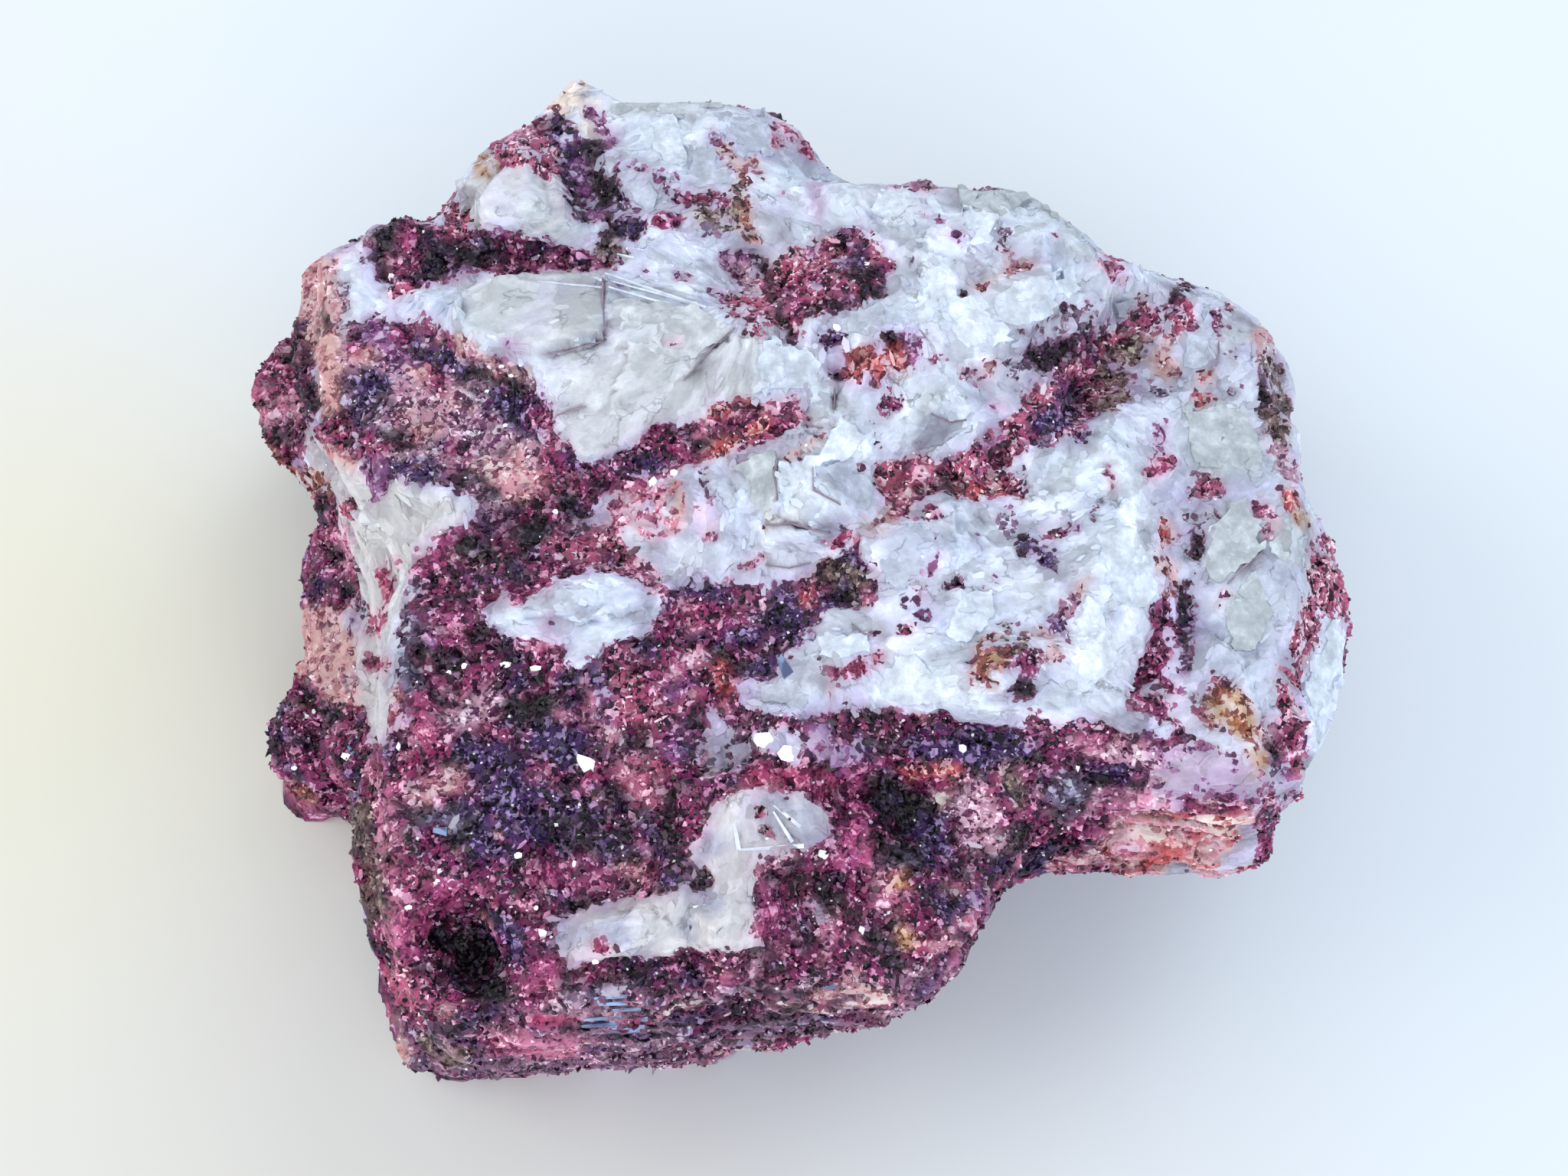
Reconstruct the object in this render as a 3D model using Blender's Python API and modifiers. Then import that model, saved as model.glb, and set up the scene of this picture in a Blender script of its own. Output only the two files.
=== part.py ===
"""Raw lepidolite: one broken hand specimen of mica, grown through with blades of pale feldspar.

The stone is built the way it broke. Thin beds lie one on another, each ending a little further
in or out than the one below, so the flanks show ledges. A front block, a wing that overhangs on
the right, cleavage plates and a dome stand on the top bed. Blades, mica books, knobs and a pit
are added, all of it is fused into one solid, weathered, and cut flat where it rests.

Sizes in this file are millimetres. The finished solid is turned into metres at the end.
X runs along the stone's length, Y from its front to its back, Z up from the face it rests on.
"""

import math
import random
from collections import namedtuple

import bmesh
import bpy
import numpy as np
from mathutils import Matrix, Vector, noise

# Overall size of the stone.
STONE_LENGTH = 83.0
STONE_DEPTH = 74.5
STONE_HEIGHT = 38.4

# How fine the solid is.
FUSE_VOXEL = 0.62
FINAL_TRIANGLES = 9600
CUT_HEIGHT = 0.9

# The beds: how thick each is, the points of its edge, and how far edges stand in or out.
BED_THICKNESS = 2.6
BED_POINTS = 96
BED_STEP = 1.5
BED_OVERLAP = 0.05
BED_DIP = (0.012, 0.008)
SEED = 7

# How the surface is broken: facet sizes along X, Y and Z, a facet's tilt, and the steps between facets.
BROAD_SWELL = 0.7
TOP_GRAIN = (5.2, 3.8, 4.5)
TOP_TILT = 1.3
TOP_STEP = 0.75
FLANK_GRAIN = (7.0, 7.0, 2.4)
FLANK_TILT = 1.0
FLANK_STEP = 1.5
BED_EDGE = 0.9
LEAN_OFFSETS = (Vector((0, 0, 0)), Vector((31, 0, 7)), Vector((3, 57, 0)))

# How quickly a bed's edge wanders in and out: around the stone, up the stone, and how far.
BED_WANDER = ((2.2, 1.7, 1.5), (9.0, 5.1, 0.7))

# The stone's outline at five heights, from the ground up, clockwise from the front left.
BED_CENTRE = Vector((0.0, 5.0))
SECTIONS = [
    (0.0, [
        (-27.4, -26), (-26.4, -28), (-22, -28.4), (-10, -26.6), (-3, -25.6), (2, -23.2), (6, -18.6),
        (10, -9), (16, -2), (22, 8), (24, 19), (20, 28), (10, 34), (0, 38), (-13, 40), (-25, 38),
        (-33, 31), (-36, 20), (-36, 8), (-34, -3), (-32.5, -11), (-30.5, -19),
    ]),
    (7.0, [
        (-28.3, -24), (-25.6, -28.5), (-21, -29.8), (-12, -28.7), (-4, -28.1), (3, -26.7), (7, -24.4),
        (9, -18), (13, -9), (22, -2), (29, 7), (31, 18), (27, 27), (18, 33), (7, 37), (-5, 40),
        (-17, 41), (-28, 39), (-36, 33), (-38, 25), (-36.6, 12), (-35.6, 2), (-34.6, -5),
        (-32.2, -11), (-30.2, -18),
    ]),
    (16.0, [
        (-26.4, -25), (-24.6, -30), (-21, -32), (-13, -31.5), (-1, -30), (5, -29), (9.5, -28),
        (11.5, -26), (13, -23), (15, -20.5), (18, -19.4), (27, -19), (33, -20), (35.4, -16),
        (38, -10), (40.6, -3), (40.6, 3), (38.6, 11), (39, 20), (36, 25), (30, 28), (22, 31),
        (16, 34.5), (9, 35), (1, 37), (-8, 39.5), (-17, 40), (-24, 37), (-31, 33), (-36, 28),
        (-36.5, 22), (-34.6, 12), (-33, 5), (-31.4, -4), (-29.6, -10), (-28.4, -17),
    ]),
    (26.0, [
        (-25, -28), (-23, -31), (-15, -32.5), (-8, -32), (-1, -31), (5, -30.5), (9, -29.5), (12, -26),
        (14, -22.5), (17, -19.5), (27, -19), (33, -18), (36, -13), (38, -8), (39, -2), (37.5, 4),
        (37, 12), (35.4, 19.2), (31.4, 22.4), (25, 25), (20, 28.6), (15, 30), (8, 31), (2, 33.6),
        (-0.6, 37), (-7, 40), (-14, 40.5), (-19, 39), (-23.5, 35), (-27, 30), (-33.5, 28.5),
        (-36.5, 23), (-35, 14), (-31.5, 6), (-28.5, 0), (-27, -5), (-26.5, -14), (-26, -22),
    ]),
    (31.0, [
        (-18, -14), (-6, -14), (4, -13.5), (15, -15), (21, -15.5), (30, -17), (33, -12), (34.5, -4),
        (34.5, 8), (34, 14), (32, 18), (28, 19.4), (23, 21.2), (19, 25.4), (12, 26.4), (7, 26.8),
        (3, 28.8), (1, 34), (-3, 36), (-12, 36), (-16, 37.5), (-19, 34), (-22, 31), (-25, 26),
        (-30, 25), (-33, 21), (-32, 14), (-30, 6), (-27, 2), (-24, -4), (-24, -10),
    ]),
]
LOWEST_BED = -2.6
HIGHEST_BED = 31.0

# A slab is a flat-sided piece of the stone: its outline seen from above, how low and how high it
# reaches at the middle, and how much it rises for each millimetre along X and along Y.
Slab = namedtuple("Slab", "name outline low high dip_x dip_y")

# What stands on the beds.
BLOCKS = [
    Slab("front_block", [
        (-26, -3), (-20, 3), (-13, 3), (-7, -3), (-3, -12), (5, -12), (16, -14), (16, -20),
        (13.5, -23.5), (11.5, -27.5), (8, -31), (-2, -31), (-9, -32), (-16, -32.6), (-23, -31),
        (-25, -28), (-26, -20), (-26.5, -12),
    ], low=18.0, high=30.4, dip_x=-0.03, dip_y=0.17),
    Slab("left_shoulder", [
        (-33.5, 22), (-31, 25.5), (-24, 25), (-12, 21), (-11, 10), (-15, 4), (-17, 0), (-22, 0),
        (-28, 5), (-32, 12),
    ], low=26.0, high=33.6, dip_x=0.05, dip_y=-0.02),
    Slab("peak_block", [
        (-23, 25), (-21, 30), (-19, 33), (-16, 36), (-12, 34.5), (-4, 34), (-0.8, 32.4), (0, 29.6),
        (3, 25), (0, 20), (-6, 18), (-12, 20), (-19, 21),
    ], low=24.0, high=34.6, dip_x=0.0, dip_y=-0.04),
    Slab("peak", [
        (-21, 30), (-16, 37), (-12, 35), (-13, 29), (-17, 27),
    ], low=22.0, high=33.6, dip_x=-0.08, dip_y=-0.1),
    Slab("wing_block", [
        (14, -14), (22, -15), (31, -17), (34, -12), (35, -3), (34.6, 8), (33.2, 14.4), (30.2, 18.2),
        (23.6, 21), (16, 20), (10, 8), (8, 0), (8, -12.5),
    ], low=24.0, high=32.9, dip_x=-0.12, dip_y=0.02),
    Slab("wing_lobe", [
        (28, 19.4), (32.4, 19.6), (35.4, 16.2), (36.5, 8), (38, 1), (39.5, -3), (38, -9), (34.5, -15),
        (31, -16), (28, -5),
    ], low=14.0, high=28.4, dip_x=-0.32, dip_y=0.08),
    Slab("dome", [
        (-2, 20), (1, 25), (7, 25.6), (12, 25.4), (18, 25.4), (21, 21.2), (23, 17), (20, 10), (15, 5),
        (10, -1), (5, -2), (1, 3), (3, 9), (1, 14),
    ], low=28.0, high=35.9, dip_x=0.06, dip_y=0.03),
    Slab("crown", [
        (5, 20.4), (9, 22.8), (16, 23), (19, 17.4), (17, 10), (13, 5), (9, 4), (6, 8), (6, 14),
    ], low=32.0, high=37.3, dip_x=0.1, dip_y=0.05),
    Slab("saddle", [
        (-17, 6), (-14, 21), (-4, 28), (6, 26), (8, 12), (6, 0), (-6, 0),
    ], low=28.0, high=35.0, dip_x=0.03, dip_y=0.02),
    Slab("low_saddle", [
        (-18, 2), (-8, 8), (4, 4), (6, -8), (4, -14), (-8, -14), (-14, -8),
    ], low=26.0, high=33.2, dip_x=0.0, dip_y=0.08),
    Slab("middle_rise", [
        (-8, 1), (-2, 6), (6, 4), (12, 2), (20, 8), (24, 3), (25, -5), (22, -12), (14, -13.5),
        (4, -12.5), (-2, -12.5), (-5, -8),
    ], low=29.0, high=33.8, dip_x=-0.02, dip_y=0.07),
]

# Flat cleavage plates of feldspar on the top.
PLATES = [
    Slab("left_plate", [
        (-24, 15), (-20, 18), (-12.3, 18), (-12.2, 12), (-17, 11), (-21.5, 11.5),
    ], low=31.0, high=36.6, dip_x=0.03, dip_y=0.04),
    Slab("wide_plate", [
        (-12, 18), (-5, 15), (-1.5, 12.5), (3, 9.5), (3.3, 6), (0.5, 3.6), (-4, 5.6), (-9, 3.2),
        (-14, 2), (-16, 6), (-17, 10.6), (-12, 11.6),
    ], low=31.0, high=36.0, dip_x=0.06, dip_y=0.03),
    Slab("grey_plate", [
        (-22.5, 24), (-20.5, 27), (-16.5, 27), (-13, 22), (-17, 20.4), (-22, 22),
    ], low=31.0, high=36.4, dip_x=0.04, dip_y=0.08),
    Slab("step_plate", [
        (-1.4, 1.4), (1.4, 3), (4, 1.6), (4.6, -1.6), (2, -3.2), (-1.4, -2.6),
    ], low=31.0, high=36.2, dip_x=0.07, dip_y=-0.04),
    Slab("island_plate", [
        (-20, -7), (-17.5, -5), (-12, -3.6), (-8, -5.6), (-9, -9), (-13, -12), (-16, -10),
    ], low=27.0, high=33.7, dip_x=0.02, dip_y=0.1),
    Slab("ell_plate", [
        (-6, -18), (-1, -17.4), (3, -20), (1.6, -23), (-1, -23.4), (-1.4, -28.6), (-12, -28.8),
        (-13.4, -27), (-6.4, -25),
    ], low=24.0, high=31.2, dip_x=0.02, dip_y=0.2),
    Slab("bright_plate", [
        (-2.2, -13.8), (2, -13.4), (2.2, -16.6), (-1.8, -17),
    ], low=26.0, high=33.4, dip_x=0.04, dip_y=0.1),
    Slab("edge_plate", [
        (2.6, -13), (6, -13.2), (6.2, -16.6), (2.6, -16.8),
    ], low=26.0, high=33.2, dip_x=-0.05, dip_y=0.1),
]

# Shelves on the left and front flanks, each a bed that runs out past the ones above it.
SHELVES = [
    Slab("left_shelf", [
        (-36, 8), (-33, 9), (-29, 0), (-27.5, -5), (-28, -12), (-31, -12), (-35, -4), (-36, 2),
    ], low=8.0, high=19.0, dip_x=0.35, dip_y=0.0),
    Slab("left_knob", [
        (-41.4, 19), (-41.4, 23), (-39.4, 27), (-36, 29), (-34, 17), (-35.6, 13), (-37.6, 14.6),
        (-40, 17),
    ], low=7.0, high=18.5, dip_x=0.3, dip_y=0.0),
    Slab("low_left_lump", [
        (-39.2, -7.4), (-37.8, -3.5), (-35.4, 0), (-32, 1), (-30, -5), (-31, -8.8), (-34, -9.6),
        (-37.6, -9.4),
    ], low=-2.0, high=12.5, dip_x=0.2, dip_y=0.1),
    Slab("front_shelf", [
        (-28.6, -25.6), (-27.4, -28.6), (-24, -29.8), (-20, -30), (-12, -28.9), (-3, -27.8),
        (-3, -24.6), (-20, -23),
    ], low=-2.0, high=6.5, dip_x=0.0, dip_y=0.12),
    Slab("schiller_shelf", [
        (-21, -28), (-20, -32), (-8, -31.6), (-7, -28),
    ], low=6.0, high=13.0, dip_x=0.0, dip_y=0.0),
    Slab("toe", [
        (-4, -24.6), (-4, -27.8), (3, -26.8), (8, -25.6), (9, -22.6), (0, -20.6),
    ], low=-2.0, high=8.0, dip_x=-0.2, dip_y=0.1),
]

# Knobs: place, radii.
KNOBS = [
    ((14.0, -11.4, 34.6), (3.0, 2.2, 2.0)),
    ((-27.4, 22.4, 33.0), (3.4, 2.2, 2.2)),
    ((-22.6, 29.0, 31.4), (1.8, 1.6, 1.8)),
    ((4.6, 17.4, 36.2), (3.6, 2.6, 1.6)),
    ((33.6, -13.4, 26.6), (2.4, 3.2, 2.4)),
    ((-38.6, 25.0, 14.0), (2.6, 3.0, 3.4)),
    ((-35.6, -5.4, 8.6), (3.0, 4.2, 4.0)),
    ((23.4, 20.6, 33.0), (2.2, 1.8, 1.8)),
]

# Hollows: place, reach, depth.
PITS = [
    ((-20.8, -28.0, 28.6), 3.6, 5.2),
    ((-18.0, -31.2, 26.4), 2.4, 2.2),
    ((8.4, 14.4, 37.6), 2.6, 1.4),
    ((12.4, -21.4, 30.0), 2.2, 1.4),
    ((-33.4, 9.4, 25.0), 2.6, 1.6),
]

# Seams where soft mica has weathered back between the feldspar: path, width, depth.
SEAMS = [
    ([(25, 16), (20, 10.5), (16, 7), (12, 3.5), (7, 1)], 3.2, 1.1),
    ([(2, 8), (-4, 5.8), (-9, 3.2), (-14, 1), (-19, -0.5), (-24, -4)], 2.6, 0.9),
    ([(-18, 31), (-14, 26), (-11.5, 21), (-12, 19.5), (-20, 20), (-27, 21)], 2.4, 1.0),
    ([(26, 1), (27.4, -5), (25, -10), (22, -14)], 1.8, 0.8),
    ([(-2, 18), (3, 20), (7, 18.6)], 3.0, 1.2),
    ([(-1.6, -3.2), (5, -3.4)], 0.9, 0.7),
    ([(5, -15.6), (8, -19), (11.5, -22), (15, -21.5)], 2.0, 1.9),
    ([(-7, -13), (-2, -12.6), (6, -13), (14, -14.4)], 1.6, 0.8),
    ([(36, 3), (36.5, -3), (34.4, -9), (32, -15)], 1.8, 0.7),
]

# Broad fracture faces on the sides and the wing's underside: a point on the face and the way it looks.
FRACTURES = [
    ((32.6, 27.1, 20.0), (0.62, 0.76, 0.18)),
    ((40.4, 0.0, 20.0), (0.95, -0.06, 0.30)),
    ((10.0, 36.8, 18.0), (0.20, 0.97, 0.12)),
    ((-8.0, 41.0, 18.0), (-0.10, 0.99, 0.06)),
    ((-30.0, 34.5, 16.0), (-0.72, 0.68, 0.12)),
    ((30.0, 4.0, 8.5), (0.40, -0.10, -0.91)),
    ((18.0, -16.0, 7.0), (0.42, -0.45, -0.79)),
]

# Fracturing: how much of what lies beyond a fracture face goes, how soon a slope counts as flank,
# how wide the broad swells are, and how fine the beds' edges are along X, Y and Z.
FRACTURE_SHARE = 0.9
FLANK_SLOPE = 1.4
SWELL_SIZE = 11.0
BED_EDGE_SIZE = (9.0, 9.0, 1.1)

# The plates' tops stay calmer than the rest. Seams are worn only where the top looks up and lies high.
PLATE_UP = 0.5
PLATE_CALM = 0.3
SEAM_UP = 0.2
SEAM_LOWEST = 22.0

# Blades and books, each number between two limits. Angles are in degrees.
BLADE_LENGTH = (3.5, 7.5)
BLADE_WIDTH = (1.6, 3.0)
BLADE_THICKNESS = (1.0, 1.8)
BLADE_TURN = (-22, 22)
BLADE_TILT = (-14, 14)
BLADE_ROLL = (-24, 24)
BLADE_LIFT = (-0.35, 0.15)
BOOK_SIDES = 6
BOOK_RADIUS = (1.0, 1.9)
BOOK_THICKNESS = (0.8, 1.6)
BOOK_LEAN = (5, 50)
BOOK_TAPER = 0.9
BOOK_SINK = 0.1

# Where blades and mica books stand on the top: centre, reach, how many, heading in degrees.
BLADE_FIELDS = [
    ((11, 13.6), (8, 7.6), 16, 35),
    ((-6, 27), (6, 6), 10, 70),
    ((-4, 14), (7, 4), 10, -25),
    ((12, -6), (10, 5), 16, 20),
    ((22, 2), (6, 8), 12, 75),
    ((32, 6), (3, 10), 8, 80),
    ((-14, -8), (5, 3), 5, 10),
    ((-5, -24), (6, 4), 6, 55),
]
BOOK_FIELDS = [
    ((-16, -20), (9, 9), 34),
    ((4, -22), (8, 6), 16),
    ((-23, 9), (6, 8), 16),
    ((-17, 26), (4, 5), 8),
    ((21, 10), (4, 5), 8),
    ((30, -12), (4, 4), 6),
]


def remove_all_objects():
    for obj in list(bpy.data.objects):
        bpy.data.objects.remove(obj)


def new_collection(name):
    collection = bpy.data.collections.new(name)
    bpy.context.scene.collection.children.link(collection)
    return collection


def add_slab(stock, slab):
    """Adds a slab to the stock: a filled outline given a thickness, then sheared to its dip."""
    curve = bpy.data.curves.new(slab.name, "CURVE")
    curve.dimensions = "2D"
    curve.fill_mode = "BOTH"
    curve.extrude = (slab.high - slab.low) / 2
    spline = curve.splines.new("POLY")
    spline.points.add(len(slab.outline) - 1)
    for point, (x, y) in zip(spline.points, slab.outline):
        point.co = (x, y, 0.0, 1.0)
    spline.use_cyclic_u = True
    holder = bpy.data.objects.new(slab.name, curve)
    bpy.context.scene.collection.objects.link(holder)
    graph = bpy.context.evaluated_depsgraph_get()
    mesh = bpy.data.meshes.new_from_object(holder.evaluated_get(graph))
    bpy.data.objects.remove(holder)
    bpy.data.curves.remove(curve)

    for vertex in mesh.vertices:
        vertex.co.z += (slab.high + slab.low) / 2 + rise_at(slab, vertex.co.x, vertex.co.y)
    body = bmesh.new()
    body.from_mesh(mesh)
    bmesh.ops.remove_doubles(body, verts=body.verts, dist=0.001)
    bmesh.ops.recalc_face_normals(body, faces=body.faces)
    body.to_mesh(mesh)
    body.free()
    stock.from_mesh(mesh)
    bpy.data.meshes.remove(mesh)


def rise_at(slab, x, y):
    """How much a dipping slab has risen at a place, from the middle of its outline."""
    middle_x = sum(point[0] for point in slab.outline) / len(slab.outline)
    middle_y = sum(point[1] for point in slab.outline) / len(slab.outline)
    return slab.dip_x * (x - middle_x) + slab.dip_y * (y - middle_y)


def radius_towards(outline, angle):
    """How far the outline lies from the beds' centre in one direction."""
    ray = Vector((math.cos(angle), math.sin(angle)))
    best = 0.0
    for first, second in zip(outline, outline[1:] + outline[:1]):
        start = Vector(first) - BED_CENTRE
        edge = Vector(second) - Vector(first)
        turn = ray.x * edge.y - ray.y * edge.x
        if abs(turn) < 1e-9:
            continue
        reach = (start.x * edge.y - start.y * edge.x) / turn
        along = (start.x * ray.y - start.y * ray.x) / turn
        if 0.0 <= along <= 1.0:
            best = max(best, reach)
    return best


def bed_outline(height):
    """The stone's outline at any height, between the two nearest sections, with a ragged edge."""
    height_used = min(max(height, SECTIONS[0][0]), SECTIONS[-1][0])
    lower = max((s for s in SECTIONS if s[0] <= height_used), key=lambda s: s[0])
    upper = min((s for s in SECTIONS if s[0] >= height_used), key=lambda s: s[0])
    span = upper[0] - lower[0]
    share = (height_used - lower[0]) / span if span else 0.0
    points = []
    for index in range(BED_POINTS):
        angle = 2 * math.pi * index / BED_POINTS
        radius = (1 - share) * radius_towards(lower[1], angle) + share * radius_towards(upper[1], angle)
        for around, up, reach in BED_WANDER:
            spot = Vector((around * math.cos(angle), around * math.sin(angle), up * height))
            radius += BED_STEP * reach * noise.noise(spot)
        points.append((BED_CENTRE.x + radius * math.cos(angle), BED_CENTRE.y + radius * math.sin(angle)))
    return points


def add_beds(stock):
    low = LOWEST_BED
    while low < HIGHEST_BED:
        high = low + BED_THICKNESS
        bed = Slab("bed", bed_outline((low + high) / 2), low, high + BED_OVERLAP, *BED_DIP)
        add_slab(stock, bed)
        low = high


def top_height(x, y):
    """The highest block or plate that stands over a place, or the bed below where none does."""
    heights = [
        slab.high + rise_at(slab, x, y) for slab in BLOCKS + PLATES if inside(slab.outline, x, y)
    ]
    return max(heights, default=HIGHEST_BED)


def inside(outline, x, y):
    crossings = 0
    for (x0, y0), (x1, y1) in zip(outline, outline[1:] + outline[:1]):
        if (y0 > y) != (y1 > y) and x < x0 + (y - y0) * (x1 - x0) / (y1 - y0):
            crossings += 1
    return crossings % 2 == 1


def add_blades(stock, rng):
    """Feldspar blades: long flat boxes lying nearly along their field's heading, half sunk in the top."""
    for (centre_x, centre_y), (reach_x, reach_y), count, heading in BLADE_FIELDS:
        for _ in range(count):
            x = centre_x + rng.uniform(-reach_x, reach_x)
            y = centre_y + rng.uniform(-reach_y, reach_y)
            length = rng.uniform(*BLADE_LENGTH)
            width = rng.uniform(*BLADE_WIDTH)
            thickness = rng.uniform(*BLADE_THICKNESS)
            turn = math.radians(heading + rng.uniform(*BLADE_TURN))
            tilt = math.radians(rng.uniform(*BLADE_TILT))
            roll = math.radians(rng.uniform(*BLADE_ROLL))
            place = Vector((x, y, top_height(x, y) + rng.uniform(*BLADE_LIFT)))
            frame = Matrix.Translation(place) @ Matrix.Rotation(turn, 4, "Z")
            frame = frame @ Matrix.Rotation(tilt, 4, "Y") @ Matrix.Rotation(roll, 4, "X")
            frame = frame @ Matrix.Diagonal((length, width, thickness, 1.0))
            bmesh.ops.create_cube(stock, size=1.0, matrix=frame)


def add_books(stock, rng):
    """Mica books: short six-sided prisms at all angles, half sunk in the top."""
    for (centre_x, centre_y), (reach_x, reach_y), count in BOOK_FIELDS:
        for _ in range(count):
            x = centre_x + rng.uniform(-reach_x, reach_x)
            y = centre_y + rng.uniform(-reach_y, reach_y)
            radius = rng.uniform(*BOOK_RADIUS)
            place = Vector((x, y, top_height(x, y) - BOOK_SINK))
            frame = Matrix.Translation(place) @ Matrix.Rotation(rng.uniform(0, math.tau), 4, "Z")
            frame = frame @ Matrix.Rotation(math.radians(rng.uniform(*BOOK_LEAN)), 4, "X")
            bmesh.ops.create_cone(
                stock, cap_ends=True, segments=BOOK_SIDES, radius1=radius, radius2=radius * BOOK_TAPER,
                depth=rng.uniform(*BOOK_THICKNESS), matrix=frame,
            )


def add_knobs(stock):
    for place, radii in KNOBS:
        frame = Matrix.Translation(Vector(place)) @ Matrix.Diagonal((*radii, 1.0))
        bmesh.ops.create_icosphere(stock, subdivisions=2, radius=1.0, matrix=frame)


def fused(mesh, voxel, collection):
    """The outer skin of all that overlaps, as one closed mesh of its largest body."""
    holder = bpy.data.objects.new("fusing", mesh)
    collection.objects.link(holder)
    remesh = holder.modifiers.new("fuse", "REMESH")
    remesh.mode = "VOXEL"
    remesh.voxel_size = voxel
    result = evaluated_mesh(holder)
    bpy.data.objects.remove(holder)
    body = bmesh.new()
    body.from_mesh(result)
    keep_largest_body(body)
    body.to_mesh(result)
    body.free()
    return result


def evaluated_mesh(obj):
    bpy.context.view_layer.update()
    graph = bpy.context.evaluated_depsgraph_get()
    return bpy.data.meshes.new_from_object(obj.evaluated_get(graph))


def keep_largest_body(body):
    """Drops the crumbs and sealed hollows that fusing leaves."""
    unseen = set(body.verts)
    bodies = []
    while unseen:
        seed_vertex = unseen.pop()
        group = [seed_vertex]
        queue = [seed_vertex]
        while queue:
            vertex = queue.pop()
            for edge in vertex.link_edges:
                other = edge.other_vert(vertex)
                if other in unseen:
                    unseen.remove(other)
                    group.append(other)
                    queue.append(other)
        bodies.append(group)
    bodies.sort(key=len, reverse=True)
    crumbs = [vertex for group in bodies[1:] for vertex in group]
    bmesh.ops.delete(body, geom=crumbs, context="VERTS")


def seam_depth(place):
    """How far the weathered seams set the surface back at a place on the top."""
    deepest = 0.0
    here = Vector((place.x, place.y))
    for path, width, depth in SEAMS:
        for first, second in zip(path, path[1:]):
            start, end = Vector(first), Vector(second)
            along = (here - start).dot(end - start) / (end - start).length_squared
            nearest = start.lerp(end, min(max(along, 0.0), 1.0))
            near = 1.0 - (here - nearest).length / width
            if near > 0.0:
                deepest = max(deepest, depth * min(1.0, 2.0 * near))
    return deepest


def pit_depth(place):
    """How far a hollow sets the surface back: a bowl that is steep at its rim."""
    deepest = 0.0
    for centre, reach, depth in PITS:
        away = (place - Vector(centre)).length / reach
        if away < 1.0:
            deepest = max(deepest, depth * (1.0 - away ** 3))
    return deepest


def facet_push(place, grain, tilt, step):
    """Breaks a surface into cells of one grain size, each a flat face with its own tilt and level."""
    scaled = Vector((place.x / grain[0], place.y / grain[1], place.z / grain[2]))
    centre = noise.voronoi(scaled)[1][0]
    lean = Vector([noise.noise(centre * 3.7 + offset) for offset in LEAN_OFFSETS])
    level = noise.noise(centre * 5.3)
    return (scaled - centre).dot(lean) * tilt + level * step


def on_a_plate(place):
    return any(inside(slab.outline, place.x, place.y) for slab in PLATES)


def weather(mesh):
    """Works the fused skin: fracture faces, broken facets, ledges along the beds, seams and pits."""
    faces_at = [(Vector(point), Vector(way).normalized()) for point, way in FRACTURES]
    moved = []
    for vertex in mesh.vertices:
        place = vertex.co.copy()
        normal = vertex.normal
        for point, way in faces_at:
            beyond = (place - point).dot(way)
            if beyond > 0.0:
                place -= way * beyond * FRACTURE_SHARE
        flank = 1.0 - min(1.0, max(0.0, normal.z) * FLANK_SLOPE)
        calm = PLATE_CALM if normal.z > PLATE_UP and on_a_plate(place) else 1.0
        broad = noise.noise(place / SWELL_SIZE) * BROAD_SWELL
        top_facets = facet_push(place, TOP_GRAIN, TOP_TILT, TOP_STEP)
        flank_facets = facet_push(place, FLANK_GRAIN, FLANK_TILT, FLANK_STEP)
        bed_place = Vector([along / size for along, size in zip(place, BED_EDGE_SIZE)])
        bed_edges = noise.noise(bed_place) * BED_EDGE
        push = broad + calm * (1.0 - flank) * top_facets + flank * (flank_facets + bed_edges)
        place += normal * push
        if normal.z > SEAM_UP and place.z > SEAM_LOWEST:
            place.z -= seam_depth(place)
        place -= normal * pit_depth(place)
        moved.append(place)
    for vertex, place in zip(mesh.vertices, moved):
        vertex.co = place
    mesh.update()


def fit_to_size(mesh):
    """Sets the stone's box to its stated size, centred over the origin and standing on Z = 0."""
    points = np.array([vertex.co for vertex in mesh.vertices])
    low = points.min(axis=0)
    high = points.max(axis=0)
    size = np.array((STONE_LENGTH, STONE_DEPTH, STONE_HEIGHT))
    middle = (low + high) / 2
    middle[2] = low[2]
    points = (points - middle) * size / (high - low)
    for vertex, place in zip(mesh.vertices, points):
        vertex.co = place
    mesh.update()


def cut_flat(mesh, cutters, parts):
    """Cuts the underside flat with a block, so that the stone has a face to rest on."""
    bpy.ops.mesh.primitive_cube_add(size=1.0, location=(0, 0, CUT_HEIGHT - 10.0))
    block = bpy.context.object
    block.name = "ground_block"
    block.scale = (2 * STONE_LENGTH, 2 * STONE_DEPTH, 20.0)
    block.hide_render = True
    block.display_type = "WIRE"
    for collection in block.users_collection:
        collection.objects.unlink(block)
    cutters.objects.link(block)
    holder = bpy.data.objects.new("cutting", mesh)
    parts.objects.link(holder)
    cut = holder.modifiers.new("ground", "BOOLEAN")
    cut.operation = "DIFFERENCE"
    cut.object = block
    result = evaluated_mesh(holder)
    bpy.data.objects.remove(holder)
    bpy.data.objects.remove(block)
    return result


def thinned(mesh, triangles, parts):
    """The same skin on fewer triangles, which keeps its ledges and lets flat faces go flat."""
    mesh.calc_loop_triangles()
    holder = bpy.data.objects.new("thinning", mesh)
    parts.objects.link(holder)
    decimate = holder.modifiers.new("thin", "DECIMATE")
    decimate.ratio = triangles / len(mesh.loop_triangles)
    decimate.use_collapse_triangulate = True
    result = evaluated_mesh(holder)
    bpy.data.objects.remove(holder)
    return result


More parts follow.
